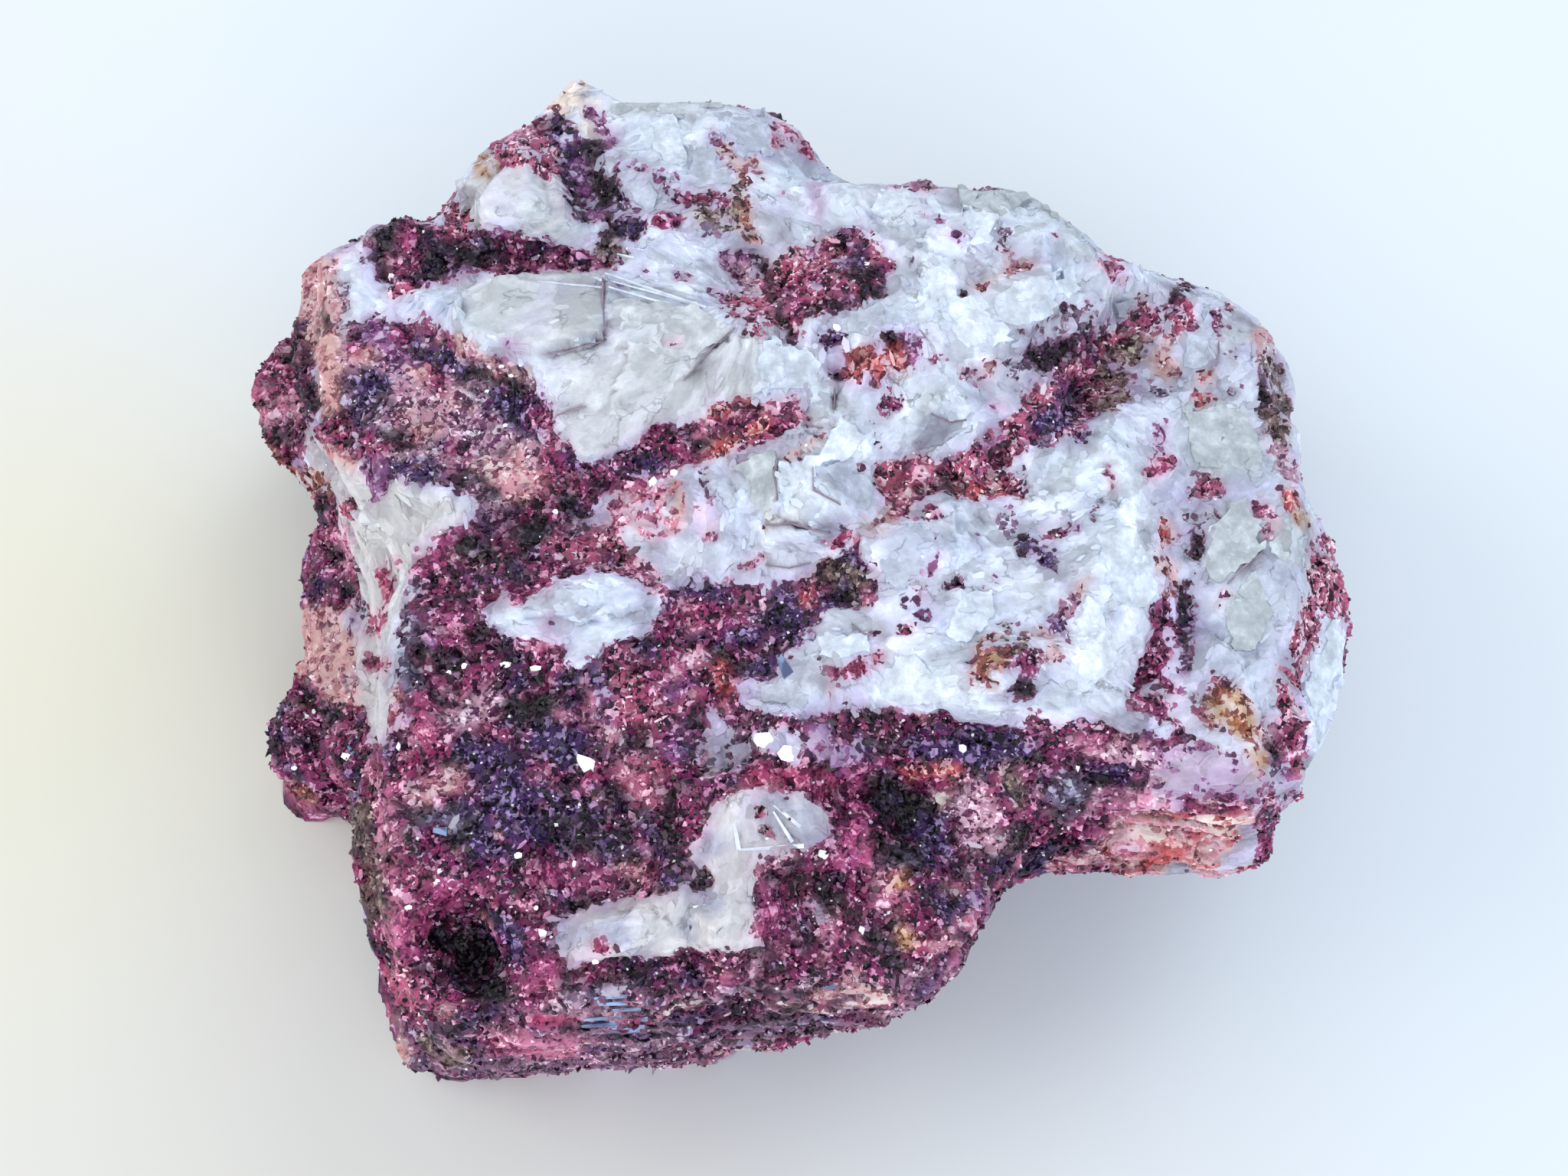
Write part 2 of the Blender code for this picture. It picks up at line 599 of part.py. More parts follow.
def stone_material():
    material = bpy.data.materials.new("lepidolite_stone")
    material.use_nodes = True
    shader = material.node_tree.nodes["Principled BSDF"]
    shader.inputs["Base Color"].default_value = (0.42, 0.22, 0.30, 1.0)
    shader.inputs["Roughness"].default_value = 0.55
    shader.inputs["Metallic"].default_value = 0.0
    material.diffuse_color = (0.42, 0.22, 0.30, 1.0)
    return material


def build_stone():
    parts = new_collection("raw_lepidolite")
    cutters = new_collection("cutters")
    rng = random.Random(SEED)

    stock = bmesh.new()
    add_beds(stock)
    for slab in BLOCKS + PLATES + SHELVES:
        add_slab(stock, slab)
    add_knobs(stock)
    add_blades(stock, rng)
    add_books(stock, rng)
    mesh = bpy.data.meshes.new("stock")
    stock.to_mesh(mesh)
    stock.free()

    mesh = fused(mesh, FUSE_VOXEL, parts)
    weather(mesh)
    mesh = fused(mesh, FUSE_VOXEL, parts)
    mesh = thinned(mesh, FINAL_TRIANGLES, parts)
    mesh = cut_flat(mesh, cutters, parts)
    fit_to_size(mesh)
    mesh.transform(Matrix.Scale(0.001, 4))

    stone = bpy.data.objects.new("lepidolite", mesh)
    stone.data.name = "lepidolite"
    stone.data.materials.clear()
    stone.data.materials.append(stone_material())
    parts.objects.link(stone)


remove_all_objects()
build_stone()
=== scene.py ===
"""Raw lepidolite, dressed: the broken stone with its mica, its feldspar and its veins.

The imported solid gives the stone's form. Here it gets a fine skin, broken into facets, grit and
beds and painted with the veins and patches that the stone shows. Mica grains and feldspar chips
are strewn over it, and slim blades, thin sheets and a few plates that flash are laid on it.
Lengths are metres, written as so many millimetres. Pixels are the photograph's, from its top left.
The last number of a noise call is its channel: another channel gives another pattern.
"""

import itertools
import math

import bmesh
import bpy
import numpy as np
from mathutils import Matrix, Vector
from mathutils.bvhtree import BVHTree
from mathutils.geometry import delaunay_2d_cdt
from mathutils.kdtree import KDTree


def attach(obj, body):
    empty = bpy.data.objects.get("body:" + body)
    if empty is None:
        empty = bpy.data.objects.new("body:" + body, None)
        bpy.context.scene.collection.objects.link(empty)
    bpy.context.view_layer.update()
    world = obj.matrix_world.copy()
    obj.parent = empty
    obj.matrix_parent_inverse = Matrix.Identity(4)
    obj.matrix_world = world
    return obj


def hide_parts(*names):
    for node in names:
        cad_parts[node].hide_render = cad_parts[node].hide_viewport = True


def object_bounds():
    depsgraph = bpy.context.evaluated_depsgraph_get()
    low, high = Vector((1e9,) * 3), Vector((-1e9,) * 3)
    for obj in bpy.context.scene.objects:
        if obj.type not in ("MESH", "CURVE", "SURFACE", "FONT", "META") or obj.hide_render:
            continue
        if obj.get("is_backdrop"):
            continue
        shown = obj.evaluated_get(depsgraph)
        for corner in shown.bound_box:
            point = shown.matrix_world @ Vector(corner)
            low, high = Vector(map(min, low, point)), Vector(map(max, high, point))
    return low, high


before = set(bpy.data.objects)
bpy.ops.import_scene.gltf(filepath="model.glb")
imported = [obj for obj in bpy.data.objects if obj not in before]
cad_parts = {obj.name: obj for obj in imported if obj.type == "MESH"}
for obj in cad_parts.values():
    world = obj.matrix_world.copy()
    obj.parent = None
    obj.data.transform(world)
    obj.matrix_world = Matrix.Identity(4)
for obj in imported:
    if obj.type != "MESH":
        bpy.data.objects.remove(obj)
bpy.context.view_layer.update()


# The place: the stone lies on matt white paper, seen from its front and steeply from above.
# Daylight comes cool and broad from the right and behind, and warmer and weaker from the left,
# so that the shadow on the left is creamy and the one on the right is bluish. The paper's colour
# adds painted warm and cool light to this, and a painted creamy shadow left of the stone.
MM = 0.001
PHOTO_SIZE = (2048, 1536)
CAMERA_ELEVATION = math.radians(64.0)
CAMERA_DISTANCE = 155.0 * MM
CAMERA_TARGET = Vector((0.1, -4.1, 22.1)) * MM
LENS = 50.0
SENSOR = 36.0
# What one pixel of the photograph spans at a distance of one.
PER_PIXEL = SENSOR / LENS / PHOTO_SIZE[0]
FLOOR_SIZE = 1.6
FLOOR_PAINTED_COOL_LIGHT = (0.725, 0.80, 0.875, 1.0)
FLOOR_PAINTED_WARM_LIGHT = (0.69, 0.69, 0.665, 1.0)
FLOOR_PAINTED_CREAM_SHADOW = (0.72, 0.718, 0.62, 1.0)
# The paper's colour turns from painted warm light to painted cool light along this way, and has a
# painted creamy shadow round this spot.
FLOOR_WAY = (0.7, 0.7, 0.0)
FLOOR_TURN = (-75.0 * MM, 25.0 * MM)
PAINTED_SHADOW_SPOT = (-66.0 * MM, 0.0, 0.0)
PAINTED_SHADOW_REACH = (50.0 * MM, 4.0 * MM)
FLOOR_ROUGHNESS = 0.9
LIGHTS = {
    # name: (place in metres, size in metres, power in watts, colour)
    "cool_window": ((0.30, 0.26, 0.52), 0.42, 0.95, (0.86, 0.93, 1.0)),
    "warm_window": ((-0.52, 0.02, 0.36), 0.50, 1.5, (1.0, 0.92, 0.80)),
    "front_fill": ((0.06, -0.52, 0.24), 0.60, 1.7, (0.97, 0.98, 1.0)),
}
SKY_COLOUR = (0.92, 0.96, 1.0, 1.0)
SKY_STRENGTH = 0.78

camera_back = Vector((0.0, -math.cos(CAMERA_ELEVATION), math.sin(CAMERA_ELEVATION)))
camera_up = Vector((0.0, math.sin(CAMERA_ELEVATION), math.cos(CAMERA_ELEVATION)))
camera_data = bpy.data.cameras.new("camera")
camera_data.lens = LENS
camera_data.sensor_width = SENSOR
camera_data.clip_start = 5 * MM
camera = bpy.data.objects.new("camera", camera_data)
camera.location = CAMERA_TARGET + camera_back * CAMERA_DISTANCE
camera.rotation_euler = (math.pi / 2 - CAMERA_ELEVATION, 0.0, 0.0)
bpy.context.scene.collection.objects.link(camera)
bpy.context.scene.camera = camera


def fill(tree, made, inputs):
    """Fills a node's inputs with values or links them to sockets."""
    for key, value in inputs.items():
        if isinstance(value, bpy.types.NodeSocket):
            tree.links.new(value, made.inputs[key])
        else:
            made.inputs[key].default_value = value


def node(tree, kind, inputs=None, **settings):
    """Adds a node, sets it up and fills its inputs."""
    made = tree.nodes.new(kind)
    for name, value in settings.items():
        setattr(made, name, value)
    fill(tree, made, inputs or {})
    return made


def object_place(tree):
    """Where each point of the object is, in metres."""
    return node(tree, "ShaderNodeTexCoord").outputs["Object"]


def mix_colours(tree, first, second, share):
    mix = node(tree, "ShaderNodeMix", {"Factor": share, 6: first, 7: second}, data_type="RGBA")
    return mix.outputs[2]


def soft_step(tree, value, low, high):
    """Goes smoothly from 0 at low to 1 at high."""
    return node(tree, "ShaderNodeMapRange", {"Value": value, "From Min": low, "From Max": high},
                interpolation_type="SMOOTHSTEP").outputs[0]


def new_material(name):
    material = bpy.data.materials.new(name)
    material.use_nodes = True
    return material, material.node_tree, material.node_tree.nodes["Principled BSDF"]


def new_object(name, mesh):
    thing = bpy.data.objects.new(name, mesh)
    bpy.context.scene.collection.objects.link(thing)
    return thing


floor_mesh = bpy.data.meshes.new("floor")
floor_body = bmesh.new()
bmesh.ops.create_grid(floor_body, x_segments=1, y_segments=1, size=FLOOR_SIZE / 2)
floor_body.to_mesh(floor_mesh)
floor_body.free()
floor = new_object("floor", floor_mesh)
paper, paper_tree, paper_shader = new_material("paper")
paper_place = object_place(paper_tree)
paper_side = node(paper_tree, "ShaderNodeVectorMath", {0: paper_place, 1: FLOOR_WAY},
                  operation="DOT_PRODUCT").outputs["Value"]
# The paper's colour carries painted light: warm to cool across it, and a painted creamy shadow left of the
# stone.
paper_colour_with_painted_light = mix_colours(paper_tree, FLOOR_PAINTED_WARM_LIGHT, FLOOR_PAINTED_COOL_LIGHT, soft_step(paper_tree, paper_side, *FLOOR_TURN))
painted_shadow_away = node(paper_tree, "ShaderNodeVectorMath", {0: paper_place, 1: PAINTED_SHADOW_SPOT},
                  operation="DISTANCE").outputs["Value"]
paper_colour_with_painted_light = mix_colours(paper_tree, paper_colour_with_painted_light, FLOOR_PAINTED_CREAM_SHADOW, soft_step(paper_tree, painted_shadow_away, *PAINTED_SHADOW_REACH))
fill(paper_tree, paper_shader, {"Base Color": paper_colour_with_painted_light, "Roughness": FLOOR_ROUGHNESS})
floor_mesh.materials.append(paper)
floor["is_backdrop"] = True

for light_name, (place, size, power, colour) in LIGHTS.items():
    lamp = bpy.data.lights.new(light_name, "AREA")
    lamp.shape = "DISK"
    lamp.size = size
    lamp.energy = power
    lamp.color = colour
    holder = new_object(light_name, lamp)
    holder.location = place
    holder.rotation_euler = (-Vector(place)).to_track_quat("-Z", "Y").to_euler()

sky = bpy.data.worlds.new("sky")
sky.use_nodes = True
sky.node_tree.nodes["Background"].inputs["Color"].default_value = SKY_COLOUR
sky.node_tree.nodes["Background"].inputs["Strength"].default_value = SKY_STRENGTH
bpy.context.scene.world = sky
bpy.context.scene.view_settings.view_transform = "Standard"


# The stone itself: one broken piece of rock that crystallised whole, white feldspar blades grown
# through beds of purple mica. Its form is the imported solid's. The skin over it is cut finer, and
# broken again: feldspar into flat facets, the flanks into thin beds, mica into grit.
SKIN_VOXEL = 0.36 * MM
SKIN_TRIANGLES = 190000
WELD_REACH = 0.001 * MM

# The kinds of ground. Of each: shades on a screen from 0 to 255, of its mica the common one, the
# deep one and the pale one, then of its feldspar. Then the share of mica, how thickly flakes grow
# on it, and how thickly feldspar chips do.
KIND_COLUMNS = ("tint", "deep", "pale", "body", "mica", "flakes", "blades")
COMMON_MICA = ((150, 96, 134), (92, 52, 84), (196, 156, 188))
KINDS = {
    "feldspar": (*COMMON_MICA, (207, 219, 236), 0.0, 0.0, 1.0),
    "bright": (*COMMON_MICA, (220, 232, 248), 0.0, 0.0, 1.0),
    "veil": (*COMMON_MICA, (188, 197, 216), 0.0, 0.0, 0.8),
    "plate": (*COMMON_MICA, (203, 209, 217), 0.0, 0.0, 0.15),
    "shaded": (*COMMON_MICA, (202, 209, 217), 0.0, 0.0, 0.2),
    # Dark lines along cleavage steps, partly crack filling and partly painted shadow under the steps.
    "crack_and_shadow": ((80, 44, 70), (40, 22, 40), (130, 100, 120), (92, 78, 92), 0.0, 0.0, 0.0),
    "mist": (*COMMON_MICA, (188, 198, 207), 0.0, 0.0, 0.8),
    "grey": ((130, 104, 126), (84, 62, 84), (180, 160, 180), (168, 173, 190), 0.03, 0.01, 0.6),
    "green": ((150, 110, 128), (96, 64, 80), (196, 166, 180), (204, 206, 210), 0.0, 0.0, 0.5),
    "cream": ((184, 134, 138), (120, 72, 84), (226, 196, 192), (226, 214, 208), 0.20, 0.05, 0.4),
    "lilac": ((150, 104, 156), (96, 60, 104), (198, 164, 204), (186, 174, 200), 0.25, 0.05, 0.3),
    "dusk": ((112, 98, 126), (62, 50, 76), (164, 156, 182), (178, 178, 196), 0.60, 0.3, 0.1),
    "magenta": ((112, 32, 82), (24, 10, 30), (214, 146, 188), (196, 170, 192), 1.0, 1.0, 0.0),
    "wine": ((138, 50, 98), (42, 15, 42), (220, 158, 194), (196, 170, 192), 1.0, 1.0, 0.0),
    "garnet": ((178, 90, 124), (48, 18, 40), (246, 212, 228), (214, 196, 208), 0.95, 0.8, 0.0),
    "crimson": ((162, 60, 104), (98, 28, 64), (220, 140, 174), (206, 150, 176), 0.85, 0.3, 0.0),
    "fuchsia": ((166, 72, 122), (104, 34, 80), (218, 150, 182), (212, 160, 190), 0.90, 0.5, 0.0),
    "orchid": ((146, 90, 146), (96, 48, 98), (200, 160, 200), (196, 170, 204), 0.75, 0.3, 0.0),
    "plum": ((62, 38, 90), (18, 12, 34), (150, 130, 178), (170, 160, 190), 1.0, 1.0, 0.0),
    "dark": ((44, 24, 46), (17, 11, 22), (104, 78, 110), (150, 136, 158), 1.0, 0.9, 0.0),
    "ink": ((27, 18, 33), (12, 8, 16), (62, 54, 74), (130, 124, 146), 1.0, 0.4, 0.0),
    "rose": ((192, 116, 150), (122, 52, 94), (240, 204, 222), (228, 180, 202), 0.80, 0.4, 0.0),
    "pink": ((206, 136, 168), (160, 84, 126), (238, 206, 220), (224, 192, 212), 0.55, 0.2, 0.1),
    "coral": ((186, 84, 90), (92, 34, 50), (236, 182, 180), (222, 178, 178), 0.80, 0.4, 0.0),
    "salmon": ((196, 140, 154), (128, 72, 94), (238, 208, 218), (202, 171, 173), 0.55, 0.2, 0.1),
    "rust": ((140, 76, 72), (66, 32, 38), (208, 160, 148), (200, 172, 168), 0.80, 0.4, 0.0),
    "ochre": ((160, 108, 72), (100, 54, 44), (206, 176, 140), (186, 152, 116), 0.50, 0.1, 0.1),
    "tan": ((184, 128, 134), (116, 68, 82), (228, 198, 202), (202, 162, 162), 0.50, 0.1, 0.2),
    "olive": ((112, 92, 92), (48, 38, 46), (170, 158, 144), (178, 172, 166), 0.90, 0.5, 0.0),
    "mauve": ((190, 148, 172), (98, 52, 88), (238, 220, 232), (208, 190, 204), 0.80, 0.5, 0.05),
    "umber": ((134, 98, 126), (50, 30, 54), (208, 188, 206), (188, 172, 188), 0.85, 0.4, 0.05),
}
KIND_NUMBER = {name: number for number, name in enumerate(KINDS)}

# Patches, as outlines in pixels of the photograph, each painted over the ones before it.
PATCHES = [
    ("bright", "middle", [(880, 690), (940, 640), (1000, 600), (1060, 565), (1090, 520), (1130, 560),
                          (1120, 620), (1190, 680), (1290, 680), (1340, 640), (1400, 600), (1470, 560),
                          (1500, 640), (1470, 760), (1480, 900), (1400, 950), (1180, 930), (1100, 930),
                          (1000, 900), (1060, 800), (960, 760)]),
    ("veil", "right end of the top", [(1480, 560), (1530, 480), (1600, 440), (1660, 600), (1730, 740),
                                      (1700, 860), (1640, 960), (1560, 930), (1530, 860), (1560, 760),
                                      (1500, 660)]),
    ("magenta", "block", [(515, 780), (545, 735), (600, 690), (640, 650), (700, 640), (760, 640),
                          (800, 690), (860, 760), (885, 775), (960, 760), (1010, 770), (1060, 740),
                          (1100, 715), (1145, 740), (1140, 790), (1080, 800), (1045, 830), (1010, 870),
                          (960, 890), (965, 925), (1060, 930), (1160, 920), (1260, 945), (1350, 945),
                          (1450, 945), (1500, 960), (1540, 960), (1670, 1000), (1670, 1160), (1340, 1170),
                          (1300, 1290), (1260, 1400), (900, 1490), (520, 1490), (390, 1300), (400, 1060),
                          (500, 960), (515, 870)]),
    ("mauve", "shoulder", [(445, 415), (500, 415), (560, 415), (600, 440), (690, 480), (725, 560),
                           (770, 600), (740, 640), (640, 665), (600, 640), (540, 625), (480, 600),
                           (452, 560), (445, 500)]),
    ("magenta", "left lump", [(405, 410), (300, 450), (270, 560), (330, 650), (395, 600), (400, 560),
                              (418, 545), (405, 480)]),
    ("tan", "left band", [(350, 300), (450, 330), (448, 400), (442, 480), (444, 560), (470, 600),
                          (470, 650), (440, 655), (425, 600), (412, 500), (398, 420)]),
    ("wine", "top left wedge", [(470, 340), (480, 280), (540, 270), (575, 300), (590, 240), (600, 285),
                                (640, 297), (700, 312), (760, 325), (805, 345), (760, 352), (690, 356),
                                (600, 350), (550, 372), (510, 385), (490, 350)]),
    ("green", "left feldspar", [(395, 560), (415, 560), (430, 600), (470, 620), (560, 640), (640, 660),
                                (600, 685), (545, 730), (525, 770), (515, 830), (515, 900), (505, 960),
                                (480, 985), (462, 940), (462, 850), (475, 780), (440, 740), (440, 660),
                                (405, 625)]),
    ("wine", "left flank, upper", [(350, 650), (440, 640), (442, 700), (470, 740), (470, 800), (345, 800)]),
    ("tan", "left flank, middle", [(345, 800), (440, 790), (462, 830), (466, 920), (430, 925), (395, 910),
                                   (345, 880)]),
    ("magenta", "lower left lump", [(370, 860), (440, 925), (470, 925), (485, 975), (480, 1120),
                                    (400, 1120), (280, 1030), (300, 900)]),
    ("shaded", "upper grey plate", [(600, 290), (600, 240), (650, 213), (700, 210), (742, 240), (757, 300),
                                    (770, 330), (700, 310), (650, 297)]),
    ("shaded", "left grey plate", [(600, 365), (700, 355), (792, 358), (790, 440), (750, 455), (690, 460),
                                   (640, 450), (600, 420)]),
    ("plate", "wide plate", [(700, 465), (790, 440), (800, 395), (880, 410), (950, 430), (1000, 440),
                             (1060, 460), (1090, 500), (1085, 545), (1050, 560), (1050, 515), (960, 515),
                             (860, 555), (800, 595), (760, 600), (730, 550), (715, 500)]),
    ("garnet", "top mica", [(990, 350), (1040, 325), (1105, 298), (1135, 310), (1150, 328), (1168, 350),
                            (1155, 390), (1120, 402), (1080, 405), (1050, 420), (1035, 447), (1008, 420),
                            (985, 400)]),
    ("garnet", "main vein", [(1485, 400), (1430, 440), (1395, 470), (1365, 495), (1330, 530), (1290, 570),
                             (1265, 588), (1230, 600), (1190, 590), (1150, 605), (1140, 640), (1180, 660),
                             (1240, 640), (1270, 655), (1330, 650), (1345, 620), (1310, 615), (1335, 585),
                             (1370, 578), (1400, 568), (1430, 545), (1445, 515), (1485, 475), (1505, 430),
                             (1520, 405)]),
    ("wine", "middle vein", [(1050, 518), (1000, 522), (960, 520), (920, 545), (900, 565), (862, 552),
                             (835, 580), (800, 600), (760, 605), (700, 640), (700, 690), (800, 650),
                             (860, 620), (910, 605), (960, 590), (1010, 570), (1050, 548)]),
    ("feldspar", "island", [(628, 800), (655, 775), (720, 762), (770, 742), (820, 748), (862, 770),
                            (872, 795), (850, 825), (800, 838), (775, 870), (748, 866), (735, 850),
                            (700, 838), (650, 825)]),
    ("green", "angled feldspar", [(930, 1045), (980, 1025), (1050, 1040), (1085, 1060), (1092, 1090),
                                  (1060, 1108), (1000, 1122), (985, 1150), (1000, 1235), (900, 1248),
                                  (800, 1258), (745, 1265), (722, 1230), (722, 1200), (765, 1178),
                                  (850, 1172), (905, 1150), (895, 1122), (920, 1085)]),
    ("feldspar", "under the block's edge", [(860, 700), (930, 690), (990, 700), (1000, 760), (960, 755),
                                            (890, 770), (860, 745)]),
    ("feldspar", "inner corner", [(960, 895), (1000, 880), (1050, 840), (1110, 860), (1110, 920),
                                  (1060, 928), (980, 925)]),
    ("lilac", "wing front", [(1500, 985), (1560, 975), (1690, 1000), (1690, 1050), (1560, 1058),
                             (1500, 1050)]),
    ("salmon", "wing foot", [(1450, 1060), (1560, 1055), (1640, 1055), (1640, 1160), (1570, 1160),
                             (1480, 1150), (1440, 1120)]),
    ("veil", "wing corner", [(1622, 1085), (1642, 1075), (1648, 1095), (1638, 1128), (1600, 1142),
                             (1588, 1130), (1612, 1108)]),
    ("ochre", "ochre crystal", [(1574, 912), (1590, 892), (1612, 893), (1638, 932), (1642, 960),
                                (1636, 980), (1600, 962), (1572, 936)]),
    ("grey", "right end", [(1712, 850), (1765, 790), (1840, 850), (1790, 980), (1700, 1060), (1690, 960)]),
    ("umber", "front beds", [(490, 1340), (640, 1330), (760, 1300), (900, 1290), (1100, 1285), (1290, 1250),
                             (1260, 1400), (900, 1490), (490, 1490)]),
]

# Breaks: the flat faces along which the feldspar split, each with its kind and outline in pixels.
# The tone each face gets is partly the feldspar's own and partly painted light and shade: faces that
# turn from the light get darker kinds, and ridges that face it brighter ones.
FELDSPAR_KINDS = ("feldspar", "bright", "veil", "mist", "crack_and_shadow", "grey", "shaded", "green", "plate", "lilac")
BREAKS = [
    # The peak.
    ("mist", [(800, 128), (850, 135), (900, 128), (945, 133), (1000, 128), (1000, 140), (960, 145),
              (925, 140), (900, 150), (850, 146), (815, 150), (795, 140)]),
    ("veil", [(930, 150), (1000, 140), (1015, 160), (1010, 205), (995, 215), (960, 200), (940, 170)]),
    ("grey", [(1000, 195), (1020, 190), (1025, 215), (1002, 215)]),
    ("bright", [(855, 160), (880, 150), (895, 200), (890, 230), (870, 225), (855, 190)]),
    ("veil", [(905, 200), (950, 170), (955, 240), (925, 250), (900, 240)]),
    ("veil", [(815, 215), (845, 225), (860, 260), (850, 285), (825, 255), (810, 235)]),
    ("bright", [(830, 260), (850, 285), (840, 300), (826, 290)]),
    ("veil", [(1030, 215), (1060, 215), (1055, 260), (1040, 235)]),
    ("veil", [(1000, 270), (1045, 262), (1050, 290), (1010, 300)]),
    ("bright", [(1045, 300), (1072, 298), (1062, 322), (1048, 320)]),
    ("bright", [(985, 280), (1000, 284), (1000, 300), (988, 300)]),
    ("grey", [(1065, 300), (1100, 295), (1105, 315), (1070, 318)]),
    # The dome and right of it.
    ("bright", [(1150, 245), (1215, 248), (1225, 270), (1245, 280), (1200, 280), (1160, 290), (1140, 275)]),
    ("grey", [(1222, 250), (1250, 240), (1262, 262), (1250, 275), (1232, 272)]),
    ("mist", [(1250, 245), (1350, 240), (1355, 262), (1310, 280), (1260, 272)]),
    ("mist", [(1350, 236), (1372, 250), (1420, 320), (1435, 345), (1400, 330), (1385, 290), (1355, 265)]),
    ("bright", [(1255, 275), (1300, 278), (1305, 300), (1290, 320), (1260, 320), (1268, 295)]),
    ("grey", [(1268, 300), (1282, 302), (1272, 324)]),
    ("bright", [(1315, 290), (1350, 272), (1365, 300), (1345, 318), (1320, 305)]),
    ("grey", [(1255, 350), (1290, 345), (1295, 370), (1275, 385), (1258, 372)]),
    ("veil", [(1350, 310), (1372, 305), (1388, 345), (1360, 335)]),
    ("bright", [(1345, 360), (1400, 350), (1405, 385), (1375, 405), (1365, 420), (1330, 425), (1300, 420),
                (1298, 390), (1320, 375)]),
    ("bright", [(1240, 430), (1265, 400), (1300, 420), (1328, 432), (1326, 442), (1300, 450), (1260, 450)]),
    ("veil", [(1165, 345), (1202, 350), (1205, 375), (1185, 392), (1165, 380)]),
    ("veil", [(1110, 405), (1150, 400), (1165, 425), (1140, 440), (1110, 435)]),
    ("veil", [(1255, 512), (1295, 510), (1300, 535), (1260, 530)]),
    ("mist", [(1198, 505), (1230, 515), (1215, 538), (1195, 530)]),
    ("grey", [(1305, 460), (1345, 455), (1355, 490), (1330, 510), (1310, 500)]),
    ("grey", [(1375, 405), (1440, 400), (1480, 390), (1500, 400), (1440, 425), (1380, 440)]),
    ("mist", [(1440, 375), (1480, 380), (1500, 370), (1480, 395), (1445, 395)]),
    ("mist", [(1405, 355), (1420, 360), (1416, 388), (1402, 390)]),
    # The middle.
    ("grey", [(985, 575), (1050, 558), (1072, 562), (1050, 590), (1018, 600), (960, 600)]),
    ("mist", [(960, 610), (1015, 588), (1015, 655), (1000, 675), (985, 665), (985, 640)]),
    ("bright", [(1018, 600), (1060, 584), (1085, 560), (1100, 545), (1130, 575), (1110, 600), (1062, 610),
                (1062, 620), (1095, 655), (1075, 680), (1062, 690), (1040, 675), (1018, 655), (1015, 630)]),
    ("veil", [(1062, 612), (1105, 600), (1145, 600), (1140, 640), (1125, 670), (1100, 652)]),
    ("grey", [(1062, 688), (1098, 662), (1125, 692), (1092, 697)]),
    ("green", [(997, 684), (1010, 660), (1040, 672), (1060, 688), (1040, 686), (1000, 690)]),
    ("bright", [(1000, 700), (1030, 705), (1035, 735), (1010, 740), (1000, 720)]),
    ("mist", [(1035, 705), (1070, 705), (1050, 725), (1032, 735)]),
    ("veil", [(1150, 700), (1190, 680), (1225, 700), (1235, 720), (1215, 750), (1180, 770), (1155, 760)]),
    ("bright", [(1122, 718), (1150, 715), (1150, 740), (1118, 738)]),
    ("bright", [(1060, 815), (1100, 793), (1112, 815), (1090, 825), (1070, 822)]),
    ("mist", [(1115, 790), (1150, 795), (1162, 830), (1130, 828), (1110, 815)]),
    ("bright", [(1065, 828), (1128, 830), (1140, 858), (1090, 860), (1070, 855)]),
    ("veil", [(1200, 848), (1250, 855), (1240, 866), (1212, 864)]),
    ("bright", [(1150, 860), (1200, 852), (1215, 880), (1242, 868), (1252, 912), (1200, 920), (1150, 910)]),
    ("bright", [(885, 715), (920, 705), (932, 740), (885, 745)]),
    ("veil", [(1000, 890), (1050, 850), (1062, 900), (1050, 925), (1000, 920)]),
    # Round the knob.
    ("bright", [(1315, 785), (1345, 765), (1355, 800), (1350, 815), (1320, 808)]),
    ("mist", [(1350, 750), (1366, 755), (1366, 806), (1354, 802)]),
    ("bright", [(1265, 770), (1300, 775), (1300, 800), (1280, 830), (1250, 840), (1235, 825), (1250, 790)]),
    ("veil", [(1300, 660), (1345, 670), (1362, 700), (1340, 742), (1310, 700)]),
    ("bright", [(1345, 630), (1385, 655), (1398, 672), (1380, 674), (1352, 660)]),
    ("bright", [(1405, 800), (1425, 780), (1440, 800), (1450, 830), (1455, 870), (1430, 890), (1405, 880),
                (1400, 840)]),
    ("bright", [(1458, 805), (1482, 820), (1482, 860), (1462, 880), (1457, 850)]),
    ("mist", [(1360, 900), (1400, 890), (1402, 930), (1365, 935)]),
    ("bright", [(1408, 897), (1450, 900), (1450, 930), (1412, 935)]),
    ("bright", [(1435, 700), (1480, 690), (1500, 720), (1510, 780), (1480, 800), (1450, 780), (1440, 740)]),
    ("mist", [(1385, 600), (1405, 600), (1400, 630), (1385, 635)]),
    ("bright", [(1265, 900), (1300, 905), (1300, 935), (1265, 935)]),
    # The wing.
    ("veil", [(1555, 420), (1580, 400), (1590, 450), (1570, 490), (1545, 480)]),
    ("mist", [(1600, 420), (1622, 425), (1622, 480), (1600, 490)]),
    ("mist", [(1545, 530), (1600, 520), (1640, 560), (1652, 620), (1600, 640), (1560, 600)]),
    ("mist", [(1580, 690), (1610, 660), (1640, 650), (1650, 720), (1620, 740), (1590, 760), (1570, 740)]),
    ("bright", [(1650, 820), (1690, 815), (1680, 850), (1650, 860)]),
    ("mist", [(1650, 660), (1700, 690), (1722, 760), (1690, 740), (1660, 720)]),
    ("bright", [(1700, 800), (1762, 730), (1775, 860), (1745, 965), (1700, 985)]),
    # The wide plate, and one more of the wing.
    ("shaded", [(800, 395), (905, 402), (960, 430), (905, 468), (830, 452), (794, 440)]),
    ("feldspar", [(1000, 440), (1060, 460), (1088, 500), (1080, 545), (1000, 515), (985, 480)]),
    ("mist", [(1600, 790), (1640, 745), (1660, 800), (1640, 850), (1610, 850)]),
]
BREAK_RAGGED = 3.0

